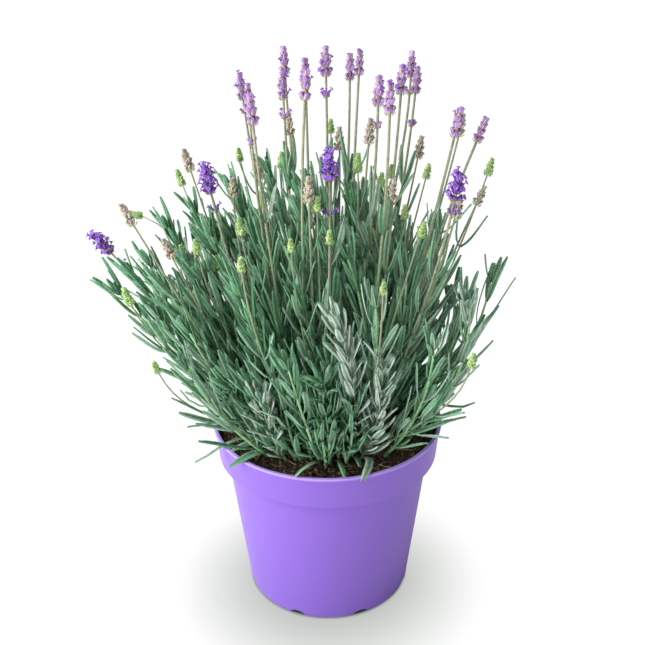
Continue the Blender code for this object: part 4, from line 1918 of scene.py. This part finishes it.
    def stem_points(self, neck: np.ndarray, axis: np.ndarray) -> np.ndarray:
        """Lays a stem from the soil to a neck, straight below and bending into the tilt above.

        Args:
            neck: The stem's end.
            axis: The way that its head points.

        Returns:
            Its points.
        """
        flat = np.array((neck[0], neck[1], 0.0))
        reach = float(np.linalg.norm(flat))
        root_radius = min(0.064, 0.012 + reach * 0.33) * self.rng.uniform(0.85, 1.1)
        turn = self.rng.gauss(0, 0.25)
        heading = math.atan2(flat[1], flat[0]) + turn
        root = np.array((math.cos(heading) * root_radius, math.sin(heading) * root_radius, 0.0))
        root[2] = self.soil.height_at(root[0], root[1]) - 0.002
        length = float(np.linalg.norm(neck - root))
        first = root + unit(unit(neck - root) + UP * 0.15) * (0.35 * length)
        return bezier((root, first, neck - axis * (0.30 * length), neck))

    def build(self, stems: Sequence[str], spikes: Sequence[str], slots: dict[str, str]) -> None:
        """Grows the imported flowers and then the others.

        Args:
            stems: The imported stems' names.
            spikes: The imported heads' names, in the same order.
            slots: The record's material slot of each node, which tells a head's stage.
        """
        stalk_dress = [self.palette.leaf, self.palette.stem, self.palette.stalk]
        necks = []
        for number, (stem, spike) in enumerate(zip(stems, spikes), 1):
            bloom = Bloom(slots[spike])
            points = self.packed_stem(stem)
            stalk, head = Growth(), Growth()
            self.add_stalk(stalk, points, bloom)
            neck = points[-1]
            necks.append(neck)
            self.add_head(head, neck, self.packed_axis(spike, neck), bloom)
            if bloom is Bloom.OPEN or (bloom is Bloom.LILAC and number % 2):
                self.add_low_whorl(head, points, bloom)
            stalk_piece = stalk.piece(f"flower_stalk_{number:02d}", stalk_dress, "stem")
            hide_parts(stem)
            head_piece = head.piece(f"flower_head_{number:02d}", self.heads_dress(bloom), bloom.value)
            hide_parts(spike)
        self.build_tiers(Dome(np.array(necks)), stalk_dress)

    def build_tiers(self, dome: Dome, stalk_dress: Sequence[bpy.types.Material]) -> None:
        """Grows the other flowers tier by tier, stems gathered by side and heads by stage.

        Args:
            dome: The surface that their necks stand under.
            stalk_dress: The materials of leaves, green stems and stalks.
        """
        rng = self.rng
        stalks = {"left": Growth(), "middle": Growth(), "right": Growth()}
        heads = {bloom: Growth() for bloom in Bloom}
        for level, tier in enumerate(TIERS, 1):
            for number in range(tier.count):
                share = tier.left + (tier.right - tier.left) * (number + 0.5) / tier.count
                turn = (number + level * 5) * GOLDEN_ANGLE
                neck = dome.neck(share + rng.gauss(0, 0.012), turn, tier.drop * rng.uniform(0.7, 1.4))
                neck[1] -= tier.forward
                outward = unit(np.array((neck[0], neck[1] * 0.5, 0.0)))
                lean = dome.tilt(neck[0]) + rng.gauss(0, math.radians(6))
                axis = unit(outward * math.sin(lean) + UP * math.cos(lean))
                side = ("left", "middle", "right")[min(2, int(max(share, 0) * 3))]
                points = self.stem_points(neck, axis)
                self.add_stalk(stalks[side], points, tier.bloom)
                self.add_head(heads[tier.bloom], neck, axis, tier.bloom, rng.uniform(*tier.sizes))
                if tier.bloom is Bloom.LILAC and number % 3 == 0:
                    self.add_low_whorl(heads[tier.bloom], points, tier.bloom)
        for side, growth in stalks.items():
            growth.piece(f"more_stalks_{side}", stalk_dress, "stem")
        for bloom, growth in heads.items():
            if growth.count:
                growth.piece(f"more_heads_{bloom.name.lower()}", self.heads_dress(bloom), bloom.value)


# ---------------------------------------------------------------------------------------- studio


@dataclass(frozen=True)
class Lamp:
    """A square soft light: its place, the length of its side and its power in watts."""

    name: str
    place: tuple[float, float, float]
    size: float
    power: float


LAMPS = (
    Lamp("key_light", place=(-1.42, -0.84, 1.15), size=1.8, power=65),
    Lamp("top_light", place=(0.0, 0.1, 1.9), size=1.6, power=14),
)


@dataclass(frozen=True)
class PaleFloor:
    """A pale floor that glows. To the camera it is white, with a painted soft shade round the pot's foot
    and painted dark under the pot.

    To all other rays it is a lit floor whose glow lights the plant, painted weaker near the pot as a
    shadow. Distances are from the middle.
    """

    # The painted soft shade round the pot's foot that the camera sees.
    shade_reach: tuple[float, float] = (0.036, 0.160)
    shade_depth: float = 0.50
    shade_colour: Colour = (0.92, 1.0, 0.90)
    shade_forward: float = 0.018
    # Where the painted dark under the pot ends; it shows through the notches.
    shade_under_pot: tuple[float, float] = (0.0665, 0.0705)
    # The floor's glow is painted light: it lights the plant though the floor is no lamp.
    glow_reach: tuple[float, float] = (0.25, 0.90)
    glow_near: float = 0.30
    # Where the glow is painted out near the pot, a painted shadow round its foot.
    glow_shade_reach: tuple[float, float] = (0.07, 0.24)

    def material(self) -> bpy.types.Material:
        """Wires the material.

        Returns:
            The material.
        """
        material, nodes, shader = new_material("pale_floor")
        link = nodes.tree.links.new
        seen_by_camera = nodes.add("LightPath").outputs["Is Camera Ray"]
        pale = nodes.mix(nodes.noise(3.0), (0.90, 0.90, 0.90), (0.92, 0.92, 0.92))
        # To the camera the floor barely reflects: its white and its painted shade come from its glow.
        link(nodes.mix(seen_by_camera, pale, (0.05, 0.052, 0.05)), shader.inputs["Base Color"])
        shader.inputs["Specular IOR Level"].default_value = 0.0
        shader.inputs["Roughness"].default_value = 0.9
        place = nodes.add("TexCoord").outputs["Object"]
        distance = nodes.add("VectorMath", {0: place}, operation="LENGTH").outputs["Value"]
        # Painted light: the floor's glow lights the plant, and it is painted weaker near the pot as a
        # shadow.
        glow = nodes.span(distance, self.glow_reach, (self.glow_near, 1.0))
        clear = nodes.span(distance, self.glow_shade_reach, (0.0, 1.0))
        lighting = nodes.math("MULTIPLY", glow, clear)
        forward = nodes.add("VectorMath", {0: place, 1: (0.0, self.shade_forward, 0.0)}, operation="ADD")
        round_foot = nodes.add("VectorMath", {0: forward.outputs[0]}, operation="LENGTH").outputs["Value"]
        # Painted shade round the pot's foot, seen by the camera.
        soft = nodes.span(
            round_foot, self.shade_reach, (self.shade_depth, 1.0), interpolation_type="SMOOTHSTEP"
        )
        # Painted dark under the pot, seen through its notches.
        seen = nodes.math("MULTIPLY", soft, nodes.span(distance, self.shade_under_pot, (0.02, 1.0)))
        look = nodes.add("Mix", {0: seen_by_camera, 2: lighting, 3: seen}, data_type="FLOAT")
        link(look.outputs[0], shader.inputs["Emission Strength"])
        link(nodes.mix(seen, self.shade_colour, (1.0, 1.0, 1.0)), shader.inputs["Emission Color"])
        return material


@dataclass
class Studio:
    """A pale floor, soft lights and the camera."""

    floor_size: float = 30
    surroundings: float = 0.26
    aim: tuple[float, float, float] = (0, 0, 0.2)
    camera_place: tuple[float, float, float] = (0.0, -0.723, 0.585)
    pitch_down: float = 25.32
    yaw: float = 0.26
    roll: float = -0.60
    lens: float = 55.8

    def build(self) -> None:
        """Sets up the floor, the world, the lights and the camera."""
        self.lay_floor()
        self.light_world()
        for lamp in LAMPS:
            self.hang(lamp)
        self.stand_camera()
        bpy.context.scene.view_settings.view_transform = "Standard"

    def lay_floor(self) -> None:
        """Lays the floor."""
        Bench.clear()
        bpy.ops.mesh.primitive_plane_add(size=self.floor_size)
        floor = bpy.context.object
        floor.name = "studio_floor"
        floor.data.materials.append(PaleFloor().material())

    def light_world(self) -> None:
        """Makes the surroundings white to look at, and dimmer as a light."""
        world = bpy.data.worlds.new("soft_white")
        bpy.context.scene.world = world
        world.use_nodes = True
        sky = Nodes(world.node_tree)
        seen = sky.add("Background", {"Color": (1.0, 1.0, 1.0, 1.0), "Strength": 1.0})
        lit = world.node_tree.nodes["Background"]
        lit.inputs["Color"].default_value = (1.0, 1.0, 1.0, 1.0)
        lit.inputs["Strength"].default_value = self.surroundings
        camera_ray = sky.add("LightPath").outputs["Is Camera Ray"]
        both = sky.add("MixShader", {0: camera_ray, 1: lit.outputs[0], 2: seen.outputs[0]})
        world.node_tree.links.new(both.outputs[0], world.node_tree.nodes["World Output"].inputs["Surface"])

    def hang(self, lamp: Lamp) -> None:
        """Hangs a light, aimed at the plant.

        Args:
            lamp: The light.
        """
        light = bpy.data.lights.new(lamp.name, "AREA")
        light.size = lamp.size
        light.energy = lamp.power
        hung = bpy.data.objects.new(lamp.name, light)
        hung.location = lamp.place
        hung.rotation_euler = (Vector(self.aim) - Vector(lamp.place)).to_track_quat("-Z", "Y").to_euler()
        bpy.context.scene.collection.objects.link(hung)

    def stand_camera(self) -> None:
        """Stands the camera in front of the plant, looking down at it."""
        camera = bpy.data.objects.new("camera", bpy.data.cameras.new("camera"))
        camera.data.lens = self.lens
        camera.data.sensor_width = 36
        camera.data.clip_start = 0.01
        camera.location = self.camera_place
        camera.rotation_euler = (math.radians(90 - self.pitch_down), 0, math.radians(self.yaw))
        camera.rotation_euler.rotate_axis("Z", math.radians(self.roll))
        bpy.context.scene.collection.objects.link(camera)
        bpy.context.scene.camera = camera


def main() -> None:
    """Builds the pot, the soil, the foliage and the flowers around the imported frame."""
    logging.basicConfig(level=logging.INFO, format="%(name)s: %(message)s")
    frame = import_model()
    nodes = sorted(frame["nodes"])
    Studio().build()
    palette = Palette()
    masters = Masters()
    pot = Pot(palette=palette)
    pot.build()
    soil = Soil(pot, masters, palette)
    soil.build()
    opening = np.array(frame["record"]["physics"]["openings"][0]["box_m"])
    foliage = Foliage(pot, soil, masters, palette, bare_soil=opening)
    foliage.build([node for node in nodes if node.startswith("leafy_shoot")])
    flowers = Flowers(soil, masters, palette, foliage)
    flowers.build(
        [node for node in nodes if node.startswith("flower_stem")],
        [node for node in nodes if node.startswith("flower_spike")],
        {part["node"]: part["material_slot"] for part in frame["record"]["subparts"]},
    )


if __name__ == "__main__":
    main()
